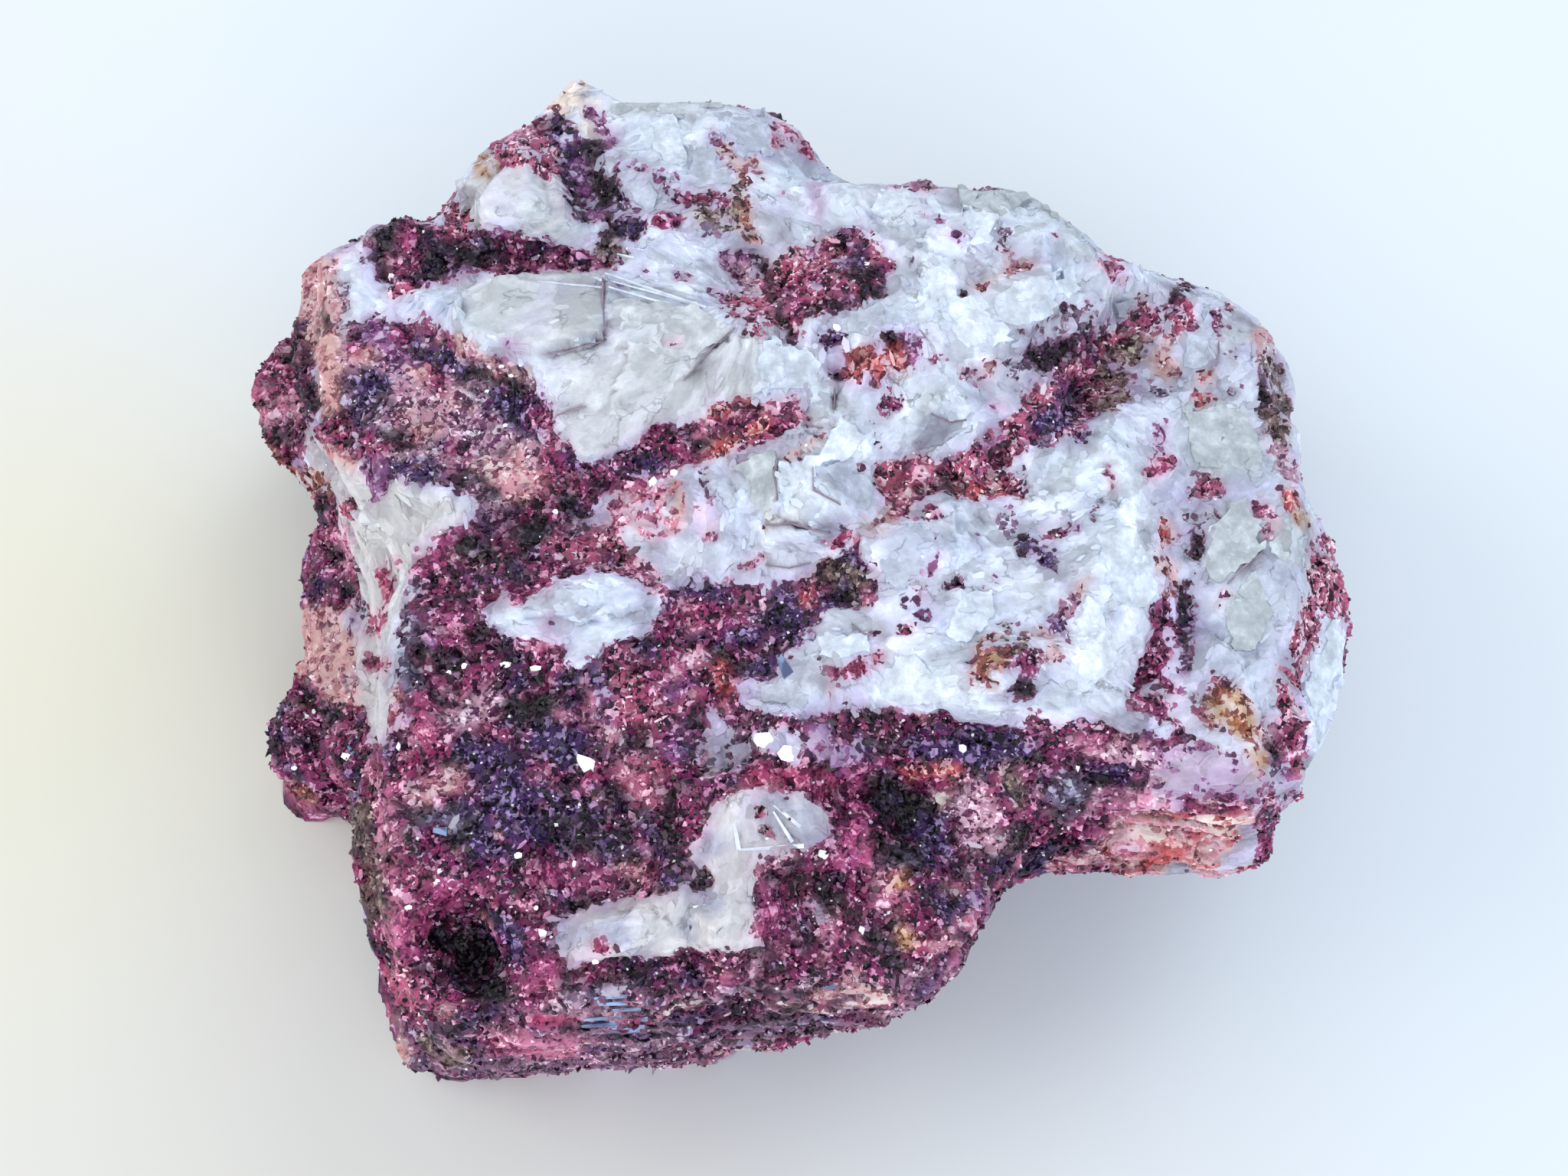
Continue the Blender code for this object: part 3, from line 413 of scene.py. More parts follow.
# Veins, streaks and spots: kind, half width, and the points that each runs through, in pixels.
STREAKS = [
    # Top left corner and shoulder.
    ("salmon", 22, [(418, 345), (415, 375), (415, 395)]), ("lilac", 12, [(430, 328), (470, 328)]),
    ("feldspar", 24, [(460, 360), (500, 385), (535, 400)]),
    ("dusk", 6, [(450, 370), (455, 400), (448, 430)]), ("orchid", 13, [(483, 425), (505, 450), (530, 475)]),
    ("plum", 30, [(480, 505), (483, 545)]), ("dark", 6, [(447, 490), (448, 550)]),
    ("ink", 12, [(508, 565), (530, 578)]), ("plum", 14, [(545, 450), (590, 475), (620, 500)]),
    ("plum", 27, [(635, 505), (670, 520), (690, 545)]), ("ink", 10, [(612, 490), (645, 500), (690, 505)]),
    ("ink", 4, [(420, 400), (422, 425)]), ("salmon", 9, [(598, 445), (625, 465), (650, 485)]),
    ("orchid", 7, [(700, 495), (712, 525)]), ("wine", 11, [(698, 545), (715, 545)]),
    ("wine", 20, [(435, 560), (470, 585), (505, 595)]), ("plum", 16, [(510, 605), (565, 615)]),
    ("orchid", 15, [(486, 605), (490, 640)]), ("salmon", 24, [(655, 625), (690, 632)]),
    ("cream", 9, [(620, 612), (640, 605)]), ("dark", 14, [(600, 625), (640, 645)]),
    ("rust", 12, [(350, 590), (385, 615), (425, 640)]), ("dark", 14, [(385, 450), (400, 490), (405, 530)]),
    ("dark", 9, [(345, 560), (385, 570)]), ("rose", 12, [(345, 510), (380, 520)]),
    ("pink", 7, [(350, 545), (390, 538)]), ("ink", 24, [(500, 312), (515, 320)]),
    ("fuchsia", 9, [(533, 295), (530, 330)]), ("ink", 16, [(565, 335), (640, 330)]),
    ("ink", 8, [(500, 350), (500, 365)]), ("garnet", 10, [(515, 380), (535, 375)]),
    ("garnet", 13, [(590, 280), (605, 290)]),
    # The peak.
    ("cream", 24, [(735, 138), (758, 112), (770, 150)]), ("feldspar", 12, [(785, 115), (795, 140)]),
    ("ochre", 18, [(636, 212)]), ("garnet", 26, [(665, 190), (700, 170), (715, 200)]),
    ("rose", 10, [(660, 175), (690, 160)]), ("plum", 18, [(725, 160), (745, 200), (755, 235)]),
    ("cream", 8, [(770, 175), (790, 205)]), ("ink", 21, [(775, 205), (792, 250), (800, 300)]),
    ("orchid", 8, [(758, 215), (765, 255), (785, 285)]), ("ink", 9, [(752, 260), (765, 290)]),
    ("plum", 14, [(815, 270), (830, 300)]), ("orchid", 8, [(772, 145), (792, 172), (812, 205)]),
    ("olive", 12, [(785, 325), (805, 330)]), ("plum", 5, [(815, 207), (855, 225)]),
    ("plum", 14, [(870, 235), (885, 252)]), ("wine", 9, [(860, 285), (885, 285)]),
    ("wine", 11, [(895, 260), (915, 265)]), ("olive", 20, [(918, 275), (945, 283)]),
    ("dusk", 8, [(915, 300), (940, 300)]), ("wine", 7, [(925, 255), (950, 262)]),
    ("plum", 5, [(922, 160), (940, 188)]), ("rust", 8, [(945, 192), (955, 205), (970, 215), (972, 232)]),
    ("rust", 6, [(985, 208), (1000, 232)]), ("olive", 8, [(963, 245), (968, 275)]),
    ("rust", 8, [(975, 260), (978, 290), (984, 322)]), ("ink", 5, [(983, 330), (997, 350)]),
    ("orchid", 13, [(948, 337), (975, 342)]), ("orchid", 4, [(815, 346), (850, 354), (905, 362)]),
    ("orchid", 7, [(930, 377), (948, 390)]), ("mauve", 14, [(965, 360), (975, 375)]),
    ("garnet", 20, [(965, 402), (990, 425)]), ("crimson", 7, [(1022, 166), (1045, 185), (1062, 202)]),
    ("rose", 8, [(1018, 160), (1020, 185)]), ("pink", 4, [(860, 448), (895, 445)]),
    # Around the dome.
    ("plum", 12, [(1105, 310), (1125, 330)]), ("ink", 25, [(1118, 365), (1140, 370)]),
    ("ink", 7, [(1002, 352), (1012, 392), (1032, 440)]), ("dark", 12, [(1085, 395), (1100, 400)]),
    ("orchid", 9, [(1155, 355)]), ("orchid", 4, [(1205, 278), (1235, 290)]),
    ("orchid", 12, [(1246, 300), (1254, 310)]), ("dusk", 4, [(1247, 330), (1248, 345)]),
    ("dusk", 5, [(1190, 340)]), ("dusk", 9, [(1310, 305), (1312, 325)]),
    ("rust", 5, [(1278, 380), (1300, 365)]), ("salmon", 8, [(1300, 368), (1320, 352), (1345, 345)]),
    ("salmon", 6, [(1312, 335), (1318, 345)]), ("crimson", 6, [(1378, 308)]),
    ("ink", 5, [(1253, 372), (1260, 382)]), ("coral", 27, [(1125, 470), (1168, 475)]),
    ("ink", 11, [(1160, 440), (1180, 445)]), ("orchid", 13, [(1195, 445), (1195, 475)]),
    ("plum", 8, [(1080, 435), (1086, 470), (1092, 492)]), ("orchid", 5, [(1085, 500), (1088, 520)]),
    ("plum", 6, [(1100, 442)]), ("wine", 3, [(1212, 468), (1240, 466)]),
    ("mauve", 6, [(1255, 485), (1280, 490)]), ("rust", 8, [(1288, 480), (1302, 474)]),
    ("dusk", 17, [(1322, 478), (1335, 480)]), ("wine", 14, [(1163, 528)]),
    ("ink", 5, [(1140, 500), (1150, 508)]), ("dusk", 6, [(1138, 555), (1148, 585)]),
    ("orchid", 12, [(1305, 530)]), ("rust", 5, [(1090, 540), (1072, 568), (1050, 585), (1028, 598)]),
    ("rust", 2.5, [(1000, 690), (1040, 686), (1080, 698), (1130, 695)]),
    ("dusk", 2.5, [(1345, 440), (1362, 424), (1376, 412)]), ("dusk", 4, [(1330, 434), (1348, 431)]),
    ("dusk", 3, [(1272, 685), (1285, 722)]),
    # Dark lines along cleavage steps, partly crack filling and partly painted shadow under the steps.
    ("crack_and_shadow", 3.2, [(1000, 686), (1035, 685), (1060, 692), (1085, 698), (1105, 697), (1130, 694)]),
    ("crack_and_shadow", 3, [(722, 545), (765, 531)]), ("crack_and_shadow", 2.2, [(705, 462), (740, 458), (792, 442)]),
    ("crack_and_shadow", 2.4, [(893, 498), (930, 455), (960, 428)]),
    ("crack_and_shadow", 2.6, [(1085, 470), (1092, 500), (1090, 535)]),
    ("crack_and_shadow", 2.6, [(1345, 440), (1362, 424), (1400, 402)]),
    ("crack_and_shadow", 2.6, [(1016, 655), (1012, 620), (1020, 600)]),
    ("crack_and_shadow", 2.6, [(1595, 772), (1620, 745), (1650, 720)]), ("crack_and_shadow", 2.6, [(1450, 800), (1480, 850)]),
    ("crack_and_shadow", 2.6, [(1112, 815), (1128, 829), (1158, 832)]),
    ("mauve", 4, [(955, 133), (975, 137), (995, 132)]), ("umber", 4, [(1165, 236), (1185, 238)]),
    ("umber", 5, [(1200, 243), (1220, 243)]), ("umber", 3, [(1285, 245), (1320, 243)]),
    # The main vein and what branches from it.
    ("dark", 18, [(1360, 465), (1400, 452), (1440, 438)]), ("dusk", 11, [(1365, 432), (1410, 422)]),
    ("dusk", 8, [(1390, 405), (1440, 410)]), ("olive", 25, [(1472, 452), (1452, 490), (1450, 520)]),
    ("garnet", 12, [(1450, 440), (1465, 435)]), ("plum", 20, [(1400, 512), (1385, 542), (1362, 552)]),
    ("dusk", 13, [(1362, 582)]), ("plum", 7, [(1410, 560), (1408, 575)]),
    ("crimson", 11, [(1193, 592), (1200, 618)]), ("ink", 11, [(1228, 626), (1245, 632)]),
    ("coral", 12, [(1265, 640), (1300, 642)]), ("dusk", 12, [(1340, 622), (1342, 632)]),
    ("salmon", 15, [(1140, 685), (1160, 668), (1182, 650)]), ("wine", 9, [(1180, 668)]),
    ("wine", 12, [(1214, 665)]), ("dusk", 15, [(1110, 690)]), ("mauve", 5, [(1125, 610)]),
    # The middle vein and the granular patch under it.
    ("ink", 14, [(920, 582), (942, 572)]), ("coral", 10, [(930, 592), (975, 565), (1000, 550)]),
    ("coral", 9, [(935, 540), (975, 528)]), ("rose", 12, [(1030, 530), (1045, 536)]),
    ("dark", 10, [(770, 640), (800, 625)]), ("rose", 30, [(815, 668), (840, 652), (868, 678)]),
    ("pink", 14, [(822, 660), (832, 690)]), ("pink", 17, [(918, 668), (924, 685)]),
    ("tan", 10, [(880, 625), (886, 655), (880, 690)]), ("dark", 5, [(918, 618), (924, 645)]),
    ("pink", 5, [(855, 625), (890, 612), (930, 600)]), ("rose", 10, [(822, 740), (840, 745), (862, 765)]),
    ("rose", 10, [(975, 740), (995, 728)]), ("garnet", 18, [(715, 715), (760, 712), (800, 722)]),
    ("grey", 7, [(750, 685), (790, 675)]), ("ink", 14, [(690, 650), (745, 655)]),
    # The band of mica right of the island, and the white hollow under it.
    ("plum", 20, [(885, 785), (940, 785)]), ("wine", 20, [(900, 800), (960, 810)]),
    ("olive", 22, [(1085, 745), (1120, 765)]), ("crimson", 10, [(1085, 715), (1110, 705)]),
    ("coral", 9, [(1055, 780)]), ("plum", 22, [(1005, 815), (1050, 820)]),
    ("plum", 31, [(945, 850), (995, 855)]), ("ink", 14, [(935, 850), (970, 865)]),
    ("crimson", 11, [(1085, 880), (1108, 886), (1130, 868), (1146, 850)]),
    ("wine", 6, [(1145, 825), (1148, 840)]), ("rose", 6, [(1085, 905)]),
    ("dusk", 2, [(1055, 835), (1080, 882), (1110, 930)]), ("garnet", 7, [(1175, 825), (1192, 820)]),
    ("plum", 6, [(1180, 785), (1192, 802)]), ("plum", 7, [(1205, 805), (1212, 812)]),
    ("orchid", 4, [(1220, 695), (1235, 715), (1224, 735), (1210, 748)]),
    ("orchid", 4, [(1200, 755), (1200, 790)]), ("dark", 6, [(1238, 762), (1250, 752)]),
    ("dark", 6, [(1258, 755), (1268, 770)]), ("plum", 3, [(1275, 768), (1310, 760)]),
    ("dusk", 22, [(1320, 680), (1345, 700)]), ("plum", 10, [(1347, 700), (1365, 725), (1375, 738)]),
    ("ink", 7, [(1335, 720)]), ("garnet", 7, [(1370, 700), (1395, 692)]),
    ("orchid", 5, [(1390, 680), (1405, 690)]), ("dusk", 7, [(1382, 735), (1396, 765)]),
    ("tan", 7, [(1418, 755), (1405, 770)]), ("olive", 6, [(1398, 785)]),
    ("plum", 13, [(1380, 815), (1390, 835)]), ("mauve", 9, [(1385, 798), (1400, 795)]),
    ("ink", 4, [(1445, 632), (1430, 675)]), ("rose", 5, [(1448, 612), (1456, 636)]),
    # The knob.
    ("rust", 26, [(1285, 880), (1305, 850)]), ("ochre", 13, [(1300, 862)]),
    ("olive", 13, [(1318, 822), (1332, 838)]), ("ink", 11, [(1258, 862)]),
    ("wine", 16, [(1342, 862), (1350, 868)]), ("salmon", 13, [(1358, 828), (1374, 850)]),
    ("ink", 14, [(1325, 890), (1342, 905)]), ("olive", 5, [(1345, 925), (1348, 945)]),
    # The right wing.
    ("rose", 10, [(1450, 340), (1462, 360)]), ("crack_and_shadow", 2.6, [(790, 362), (791, 441)]),
    ("garnet", 11, [(1495, 395), (1508, 412)]), ("dark", 11, [(1550, 372), (1530, 402)]),
    ("crimson", 11, [(1545, 402), (1562, 400)]), ("garnet", 13, [(1520, 425), (1545, 425)]),
    ("tan", 15, [(1514, 450), (1524, 485)]), ("dusk", 9, [(1500, 517), (1525, 505)]),
    ("wine", 6, [(1590, 402), (1595, 440)]), ("garnet", 9, [(1605, 402)]),
    ("coral", 11, [(1576, 492), (1570, 520)]), ("dusk", 5, [(1610, 450), (1612, 470)]),
    ("dusk", 9, [(1612, 510)]), ("orchid", 8, [(1522, 558), (1516, 578)]),
    ("crimson", 11, [(1506, 617), (1522, 605)]), ("dusk", 22, [(1572, 640), (1570, 665)]),
    ("garnet", 15, [(1575, 635)]), ("rose", 13, [(1650, 665), (1658, 685)]),
    ("salmon", 18, [(1652, 432), (1666, 462)]), ("olive", 16, [(1660, 480), (1666, 530), (1676, 575)]),
    ("ink", 8, [(1648, 535), (1655, 500)]), ("mauve", 13, [(1676, 590), (1683, 620)]),
    ("coral", 12, [(1685, 640), (1690, 655)]), ("ochre", 12, [(1705, 678)]),
    ("garnet", 21, [(1728, 718), (1730, 760), (1742, 790)]),
    ("garnet", 16, [(1716, 800), (1702, 840), (1692, 870)]),
    ("garnet", 19, [(1688, 880), (1684, 920), (1682, 945)]), ("wine", 18, [(1676, 958), (1670, 985)]),
    ("dark", 9, [(1656, 968), (1668, 988)]), ("garnet", 9, [(1690, 985), (1690, 1005)]),
    ("mauve", 12, [(1650, 945), (1656, 960)]), ("wine", 4, [(1755, 800), (1760, 835)]),
    ("coral", 9, [(1523, 688), (1530, 715)]), ("rust", 8, [(1520, 725), (1526, 790)]),
    ("salmon", 4, [(1536, 735), (1533, 780)]), ("ink", 10, [(1565, 700), (1555, 750), (1545, 795)]),
    ("plum", 13, [(1545, 815), (1545, 870)]), ("ink", 8, [(1542, 800), (1550, 862)]),
    ("wine", 15, [(1520, 800), (1516, 850), (1498, 882)]), ("garnet", 9, [(1592, 785), (1602, 776)]),
    ("wine", 17, [(1485, 912), (1520, 930), (1545, 960)]), ("wine", 8, [(1520, 890), (1560, 925)]),
    ("dusk", 5, [(1545, 895), (1590, 940), (1625, 980)]), ("dusk", 5, [(1550, 960), (1545, 1000)]),
    ("rust", 10, [(1588, 895), (1592, 903)]),
    ("rust", 4, [(1612, 890), (1624, 908), (1640, 934), (1642, 958)]),
    ("rust", 4, [(1576, 912), (1570, 934), (1590, 954), (1618, 978), (1636, 984)]),
    ("ink", 4, [(1582, 900), (1575, 916)]), ("ink", 4, [(1600, 888), (1606, 894)]),
    ("rust", 6, [(1628, 944), (1634, 956)]), ("cream", 7, [(1604, 912), (1614, 926)]),
    ("ochre", 12, [(1642, 985), (1656, 1005)]), ("dusk", 8, [(1664, 1010), (1668, 1035)]),
    ("garnet", 7, [(1652, 1030), (1656, 1050)]), ("garnet", 4, [(1682, 1040), (1696, 1036)]),
    ("veil", 6, [(1640, 1010), (1641, 1062)]),
    ("wine", 5, [(1650, 1056), (1652, 1085), (1650, 1112), (1638, 1134), (1612, 1146)]),
    ("coral", 9, [(1492, 1128), (1516, 1122), (1545, 1104)]),
    ("coral", 10, [(1548, 1066), (1560, 1086), (1564, 1112)]),
    ("rust", 5, [(1500, 1064), (1530, 1060), (1548, 1072)]), ("cream", 14, [(1584, 1072), (1606, 1082)]),
    ("cream", 9, [(1490, 1082), (1516, 1096)]), ("grey", 9, [(1530, 1140), (1552, 1137)]),
    ("wine", 5, [(1568, 1146), (1590, 1148)]),
    # The front of the wing.
    ("dusk", 24, [(1388, 1032), (1395, 1040)]), ("pink", 14, [(1415, 972), (1440, 985)]),
    ("pink", 9, [(1438, 1040), (1428, 1052)]), ("rose", 9, [(1420, 965), (1490, 975)]),
    ("mauve", 20, [(1465, 985), (1500, 1005)]), ("plum", 12, [(1425, 1010), (1485, 1012)]),
    ("pink", 9, [(1470, 1042), (1540, 1050)]), ("grey", 9, [(1630, 1085), (1618, 1108)]),
    ("salmon", 8, [(1370, 1130), (1440, 1118)]), ("wine", 9, [(1550, 1050), (1610, 1052)]),
    ("olive", 9, [(1340, 960), (1350, 975)]),
    # Under the white hollow.
    ("grey", 22, [(925, 975), (955, 985)]), ("feldspar", 11, [(930, 935), (950, 960)]),
    ("lilac", 24, [(1072, 962), (1102, 985)]), ("crimson", 7, [(1096, 962), (1108, 966)]),
    ("feldspar", 16, [(1000, 965), (1040, 978)]),
    ("crimson", 11, [(950, 1015), (1010, 1012), (1075, 1015)]),
    ("crimson", 15, [(1072, 1018), (1095, 1025)]), ("ink", 6, [(1050, 998), (1085, 1000)]),
    ("fuchsia", 21, [(1120, 1018), (1122, 1050), (1110, 1090), (1118, 1115)]),
    ("ink", 27, [(1160, 1035), (1180, 1055)]), ("ink", 34, [(1170, 1095), (1205, 1110)]),
    ("plum", 20, [(1222, 1082), (1228, 1112)]),
    ("ink", 5, [(1195, 1045), (1240, 1090), (1262, 1112), (1310, 1116), (1340, 1112)]),
    ("wine", 22, [(1158, 960), (1172, 985)]), ("plum", 22, [(1205, 970), (1290, 978)]),
    ("dark", 8, [(1110, 936), (1160, 932)]), ("coral", 10, [(1186, 1014), (1220, 1006), (1256, 1010)]),
    ("mauve", 32, [(1270, 1050), (1290, 1080)]), ("olive", 13, [(1322, 1000), (1330, 1040)]),
    ("dark", 9, [(1330, 1090), (1340, 1120)]), ("cream", 10, [(1228, 1045)]),
    ("garnet", 7, [(992, 1062), (995, 1088)]), ("ochre", 12, [(1178, 1150)]), ("ochre", 13, [(1182, 1225)]),
    ("salmon", 10, [(1245, 1155)]), ("salmon", 10, [(1225, 1232), (1240, 1225)]),
    ("lilac", 11, [(1272, 1170), (1285, 1180)]), ("fuchsia", 24, [(1012, 1165), (1008, 1205)]),
    ("grey", 7, [(1062, 1175), (1086, 1200)]), ("ink", 13, [(1078, 1158), (1096, 1190)]),
    # The block.
    ("fuchsia", 12, [(545, 738), (580, 706), (612, 690)]), ("wine", 17, [(560, 755), (592, 765)]),
    ("ink", 19, [(610, 712), (660, 702), (705, 692)]), ("ink", 14, [(650, 735), (680, 720)]),
    ("ink", 7, [(555, 790), (620, 770)]), ("dusk", 8, [(535, 772), (550, 765)]),
    ("fuchsia", 12, [(650, 765), (672, 775)]), ("rose", 8, [(685, 843), (725, 845)]),
    ("plum", 12, [(668, 885), (672, 862)]), ("dusk", 13, [(532, 800), (530, 880), (532, 930)]),
    ("ink", 7, [(545, 810), (548, 880)]), ("fuchsia", 17, [(550, 918), (556, 955)]),
    ("fuchsia", 12, [(572, 885)]), ("fuchsia", 13, [(590, 822)]), ("mauve", 18, [(600, 938), (630, 915)]),
    ("ink", 22, [(680, 930), (720, 915)]), ("plum", 26, [(715, 965), (745, 975)]),
    ("plum", 28, [(620, 985), (660, 1010), (650, 1060)]),
    ("plum", 22, [(710, 1040), (700, 1075), (620, 1110)]), ("ink", 14, [(590, 1095), (610, 1080)]),
    ("dusk", 9, [(575, 1065), (590, 1075)]), ("salmon", 14, [(545, 1035), (592, 1015)]),
    ("dark", 24, [(770, 1085), (810, 1090)]), ("plum", 15, [(780, 1035), (790, 1055)]),
    ("rose", 19, [(830, 1022), (850, 1038)]), ("garnet", 25, [(815, 905), (850, 935), (885, 895)]),
    ("pink", 11, [(868, 893), (895, 868), (915, 852)]), ("coral", 8, [(935, 870), (950, 905)]),
    ("orchid", 9, [(880, 905), (900, 890)]), ("lilac", 8, [(788, 920), (796, 905)]),
    ("pink", 9, [(765, 890), (775, 905)]), ("orchid", 13, [(880, 975), (890, 960)]),
    ("dark", 17, [(870, 1060), (885, 1125), (915, 1145)]), ("salmon", 9, [(808, 1130), (830, 1136)]),
    ("fuchsia", 14, [(790, 1150), (720, 1140)]), ("fuchsia", 15, [(700, 1150), (692, 1195)]),
    ("fuchsia", 20, [(715, 1268), (700, 1295)]), ("plum", 20, [(662, 1235), (680, 1225)]),
    ("crimson", 11, [(778, 1235), (786, 1240)]), ("ink", 12, [(790, 1280)]),
    ("dark", 12, [(820, 1275), (840, 1270)]), ("ink", 35, [(600, 1235)]),
    ("ink", 24, [(580, 1220), (620, 1250)]), ("ink", 22, [(625, 1285), (645, 1290)]),
    ("fuchsia", 22, [(530, 1190), (538, 1222)]), ("fuchsia", 12, [(560, 1160), (590, 1175)]),
    ("garnet", 19, [(520, 1275), (545, 1310)]), ("salmon", 6, [(580, 1320), (585, 1328)]),
    ("rose", 13, [(488, 1005), (500, 1060), (506, 1120)]),
    ("rose", 9, [(506, 1120), (512, 1170), (512, 1230)]),
    ("olive", 15, [(472, 1060), (480, 1130), (490, 1200)]), ("wine", 6, [(495, 1200), (500, 1235)]),
    # The left flank.
    ("garnet", 7, [(455, 655), (455, 670)]), ("wine", 6, [(432, 650), (432, 685)]),
    ("pink", 8, [(450, 690), (455, 720)]), ("rose", 9, [(455, 742), (440, 745)]),
    ("crimson", 12, [(500, 752), (503, 775)]), ("rose", 7, [(512, 735), (510, 755)]),
    ("crimson", 11, [(485, 822), (492, 810)]), ("crimson", 9, [(485, 867), (500, 868)]),
    ("salmon", 7, [(430, 805), (425, 880)]), ("dusk", 8, [(470, 785), (475, 800)]),
    ("lilac", 6, [(372, 965), (380, 955)]), ("rust", 7, [(370, 1020), (410, 1040)]),
    ("coral", 5, [(512, 905), (518, 940)]),
    # The beds of the front face.
    ("crimson", 7, [(690, 1333), (745, 1335)]), ("rose", 12, [(645, 1366), (700, 1364), (745, 1362)]),
    ("olive", 12, [(560, 1365), (595, 1382)]), ("ink", 7, [(570, 1350), (600, 1340)]),
    ("dusk", 9, [(740, 1302), (830, 1294)]), ("plum", 8, [(610, 1335), (640, 1325)]),
    ("tan", 4, [(1060, 1302), (1110, 1296), (1190, 1290)]),
    ("cream", 4, [(1040, 1326), (1100, 1312), (1180, 1302)]), ("pink", 4, [(945, 1282), (990, 1270)]),
    ("ink", 4, [(1000, 1325), (1045, 1315)]), ("grey", 11, [(955, 1380), (975, 1372)]),
    ("tan", 6, [(525, 1360), (530, 1385)]),
]


def mesh_points(mesh):
    points = np.empty(len(mesh.vertices) * 3)
    mesh.vertices.foreach_get("co", points)
    return points.reshape(-1, 3)


def mesh_normals(mesh):
    normals = np.empty(len(mesh.vertices) * 3)
    mesh.vertices.foreach_get("normal", normals)
    return normals.reshape(-1, 3)


def store(mesh, name, kind, values, domain="POINT"):
    """Keeps a value for each vertex on the mesh, or face or corner, for the shader or the nodes."""
    field = {"FLOAT": "value", "FLOAT_VECTOR": "vector", "FLOAT_COLOR": "color"}[kind]
    layer = mesh.attributes.new(name, kind, domain)
    layer.data.foreach_set(field, np.asarray(values, dtype=np.float32).ravel())


def cell_random(cell, channel):
    """A random number from 0 to 1 for each lattice cell, always the same for the same cell."""
    mixed = cell[..., 0] * 73856093 ^ cell[..., 1] * 19349663 ^ cell[..., 2] * 83492791
    mixed = (mixed ^ (channel * 2654435761)) & 0xFFFFFFFF
    for _ in range(2):
        mixed = ((mixed >> 16) ^ mixed) * 0x45D9F3B & 0xFFFFFFFF
    mixed = (mixed >> 16) ^ mixed
    return (mixed & 0xFFFFFF) / float(0xFFFFFF)


def nearest_cells(points, channel):
    """Splits space into cells. Gives each point its cell's centre and name, and its depth inside."""
    base = np.floor(points).astype(np.int64)
    first = np.full(len(points), 1e9)
    second = np.full(len(points), 1e9)
    centre = np.zeros_like(points)
    owner = np.zeros_like(base)
    for step in itertools.product((-1, 0, 1), repeat=3):
        cell = base + np.array(step)
        seed = cell + np.stack([cell_random(cell, channel + k) for k in range(3)], axis=1)
        distance = np.linalg.norm(points - seed, axis=1)
        closer = distance < first
        second = np.where(closer, first, np.minimum(second, distance))
        first = np.where(closer, distance, first)
        centre[closer] = seed[closer]
        owner[closer] = cell[closer]
    return centre, owner, second - first


def smooth_noise(points, channel):
    """Soft noise from -1 to 1, one hump to a lattice cell."""
    base = np.floor(points).astype(np.int64)
    share = points - base
    share = share * share * (3 - 2 * share)
    total = np.zeros(len(points))
    for step in itertools.product((0, 1), repeat=3):
        corner = np.array(step)
        weight = np.prod(np.where(corner == 1, share, 1 - share), axis=1)
        total += weight * cell_random(base + corner, channel)
    return total * 2 - 1


def rough_noise(points, channel):
    """Noise of three sizes laid on each other, from about -1 to 1."""
    return sum(smooth_noise(points * 2.03 ** k, channel + k) / 2 ** k for k in range(3)) / 1.4


def ramp(values, low, high):
    """Goes smoothly from 0 at low to 1 at high."""
    share = np.clip((values - low) / (high - low), 0.0, 1.0)
    return share * share * (3 - 2 * share)


def evaluated(holder):
    """What an object's mesh becomes under its modifiers. The object itself is taken away."""
    bpy.context.view_layer.update()
    graph = bpy.context.evaluated_depsgraph_get()
    result = bpy.data.meshes.new_from_object(holder.evaluated_get(graph))
    bpy.data.objects.remove(holder)
    return result


def modified(mesh, kind_of, **settings):
    """What a mesh becomes under one modifier."""
    holder = new_object("modifying", mesh)
    modifier = holder.modifiers.new("change", kind_of)
    for name, value in settings.items():
        setattr(modifier, name, value)
    return evaluated(holder)


def closed_copy(source, voxel):
    """A copy of a solid with an even skin of small faces."""
    mesh = source.data.copy()
    welded = bmesh.new()
    welded.from_mesh(mesh)
    bmesh.ops.remove_doubles(welded, verts=welded.verts, dist=WELD_REACH)
    welded.to_mesh(mesh)
    welded.free()
    return modified(mesh, "REMESH", mode="VOXEL", voxel_size=voxel)


def averaged(mesh, values, rounds):
    """Averages each vertex's number, or row of numbers, with its neighbours', so many times."""
    if values.ndim == 2:
        return np.stack([averaged(mesh, column, rounds) for column in values.T], axis=1)
    edges = np.empty(len(mesh.edges) * 2, np.int32)
    mesh.edges.foreach_get("vertices", edges)
    edges = edges.reshape(-1, 2)
    count = len(mesh.vertices)
    links = np.bincount(edges.ravel(), minlength=count)
    for _ in range(rounds):
        gathered = np.bincount(edges[:, 0], values[edges[:, 1]], count)
        gathered += np.bincount(edges[:, 1], values[edges[:, 0]], count)
        values = 0.4 * values + 0.6 * gathered / links
    return values


def point_finder(points, numbers):
    """A tree that gives, for a place, the number of the nearest of some points."""
    finder = KDTree(len(numbers))
    for number in numbers:
        finder.insert(points[number], number)
    finder.balance()
    return finder


skin_mesh = closed_copy(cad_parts["lepidolite"], SKIN_VOXEL)
skin_mesh.name = "stone_skin"
at = mesh_points(skin_mesh)


def pixels_of(points):
    """Where the camera sees each point, in pixels."""
    way = points - np.array(camera.location)
    depth = way @ -np.array(camera_back)
    u = PHOTO_SIZE[0] / 2 + way[:, 0] / depth / PER_PIXEL
    v = PHOTO_SIZE[1] / 2 - (way @ np.array(camera_up)) / depth / PER_PIXEL
    return np.stack([u, v], axis=1)


def nearest_on_path(spots, path):
    """The place on a path, in pixels, that is nearest to each spot."""
    best = np.full(len(spots), 1e9)
    place = spots.copy()
    ends = path[1:] if len(path) > 1 else path
    for start, end in zip(path, ends):
        start, along = np.array(start, float), np.array(end, float) - start
        share = (spots - start) @ along / max(along @ along, 1e-9)
        nearest = start + np.clip(share, 0, 1)[:, None] * along
        away = np.linalg.norm(spots - nearest, axis=1)
        place[away < best] = nearest[away < best]
        best = np.minimum(best, away)
    return place


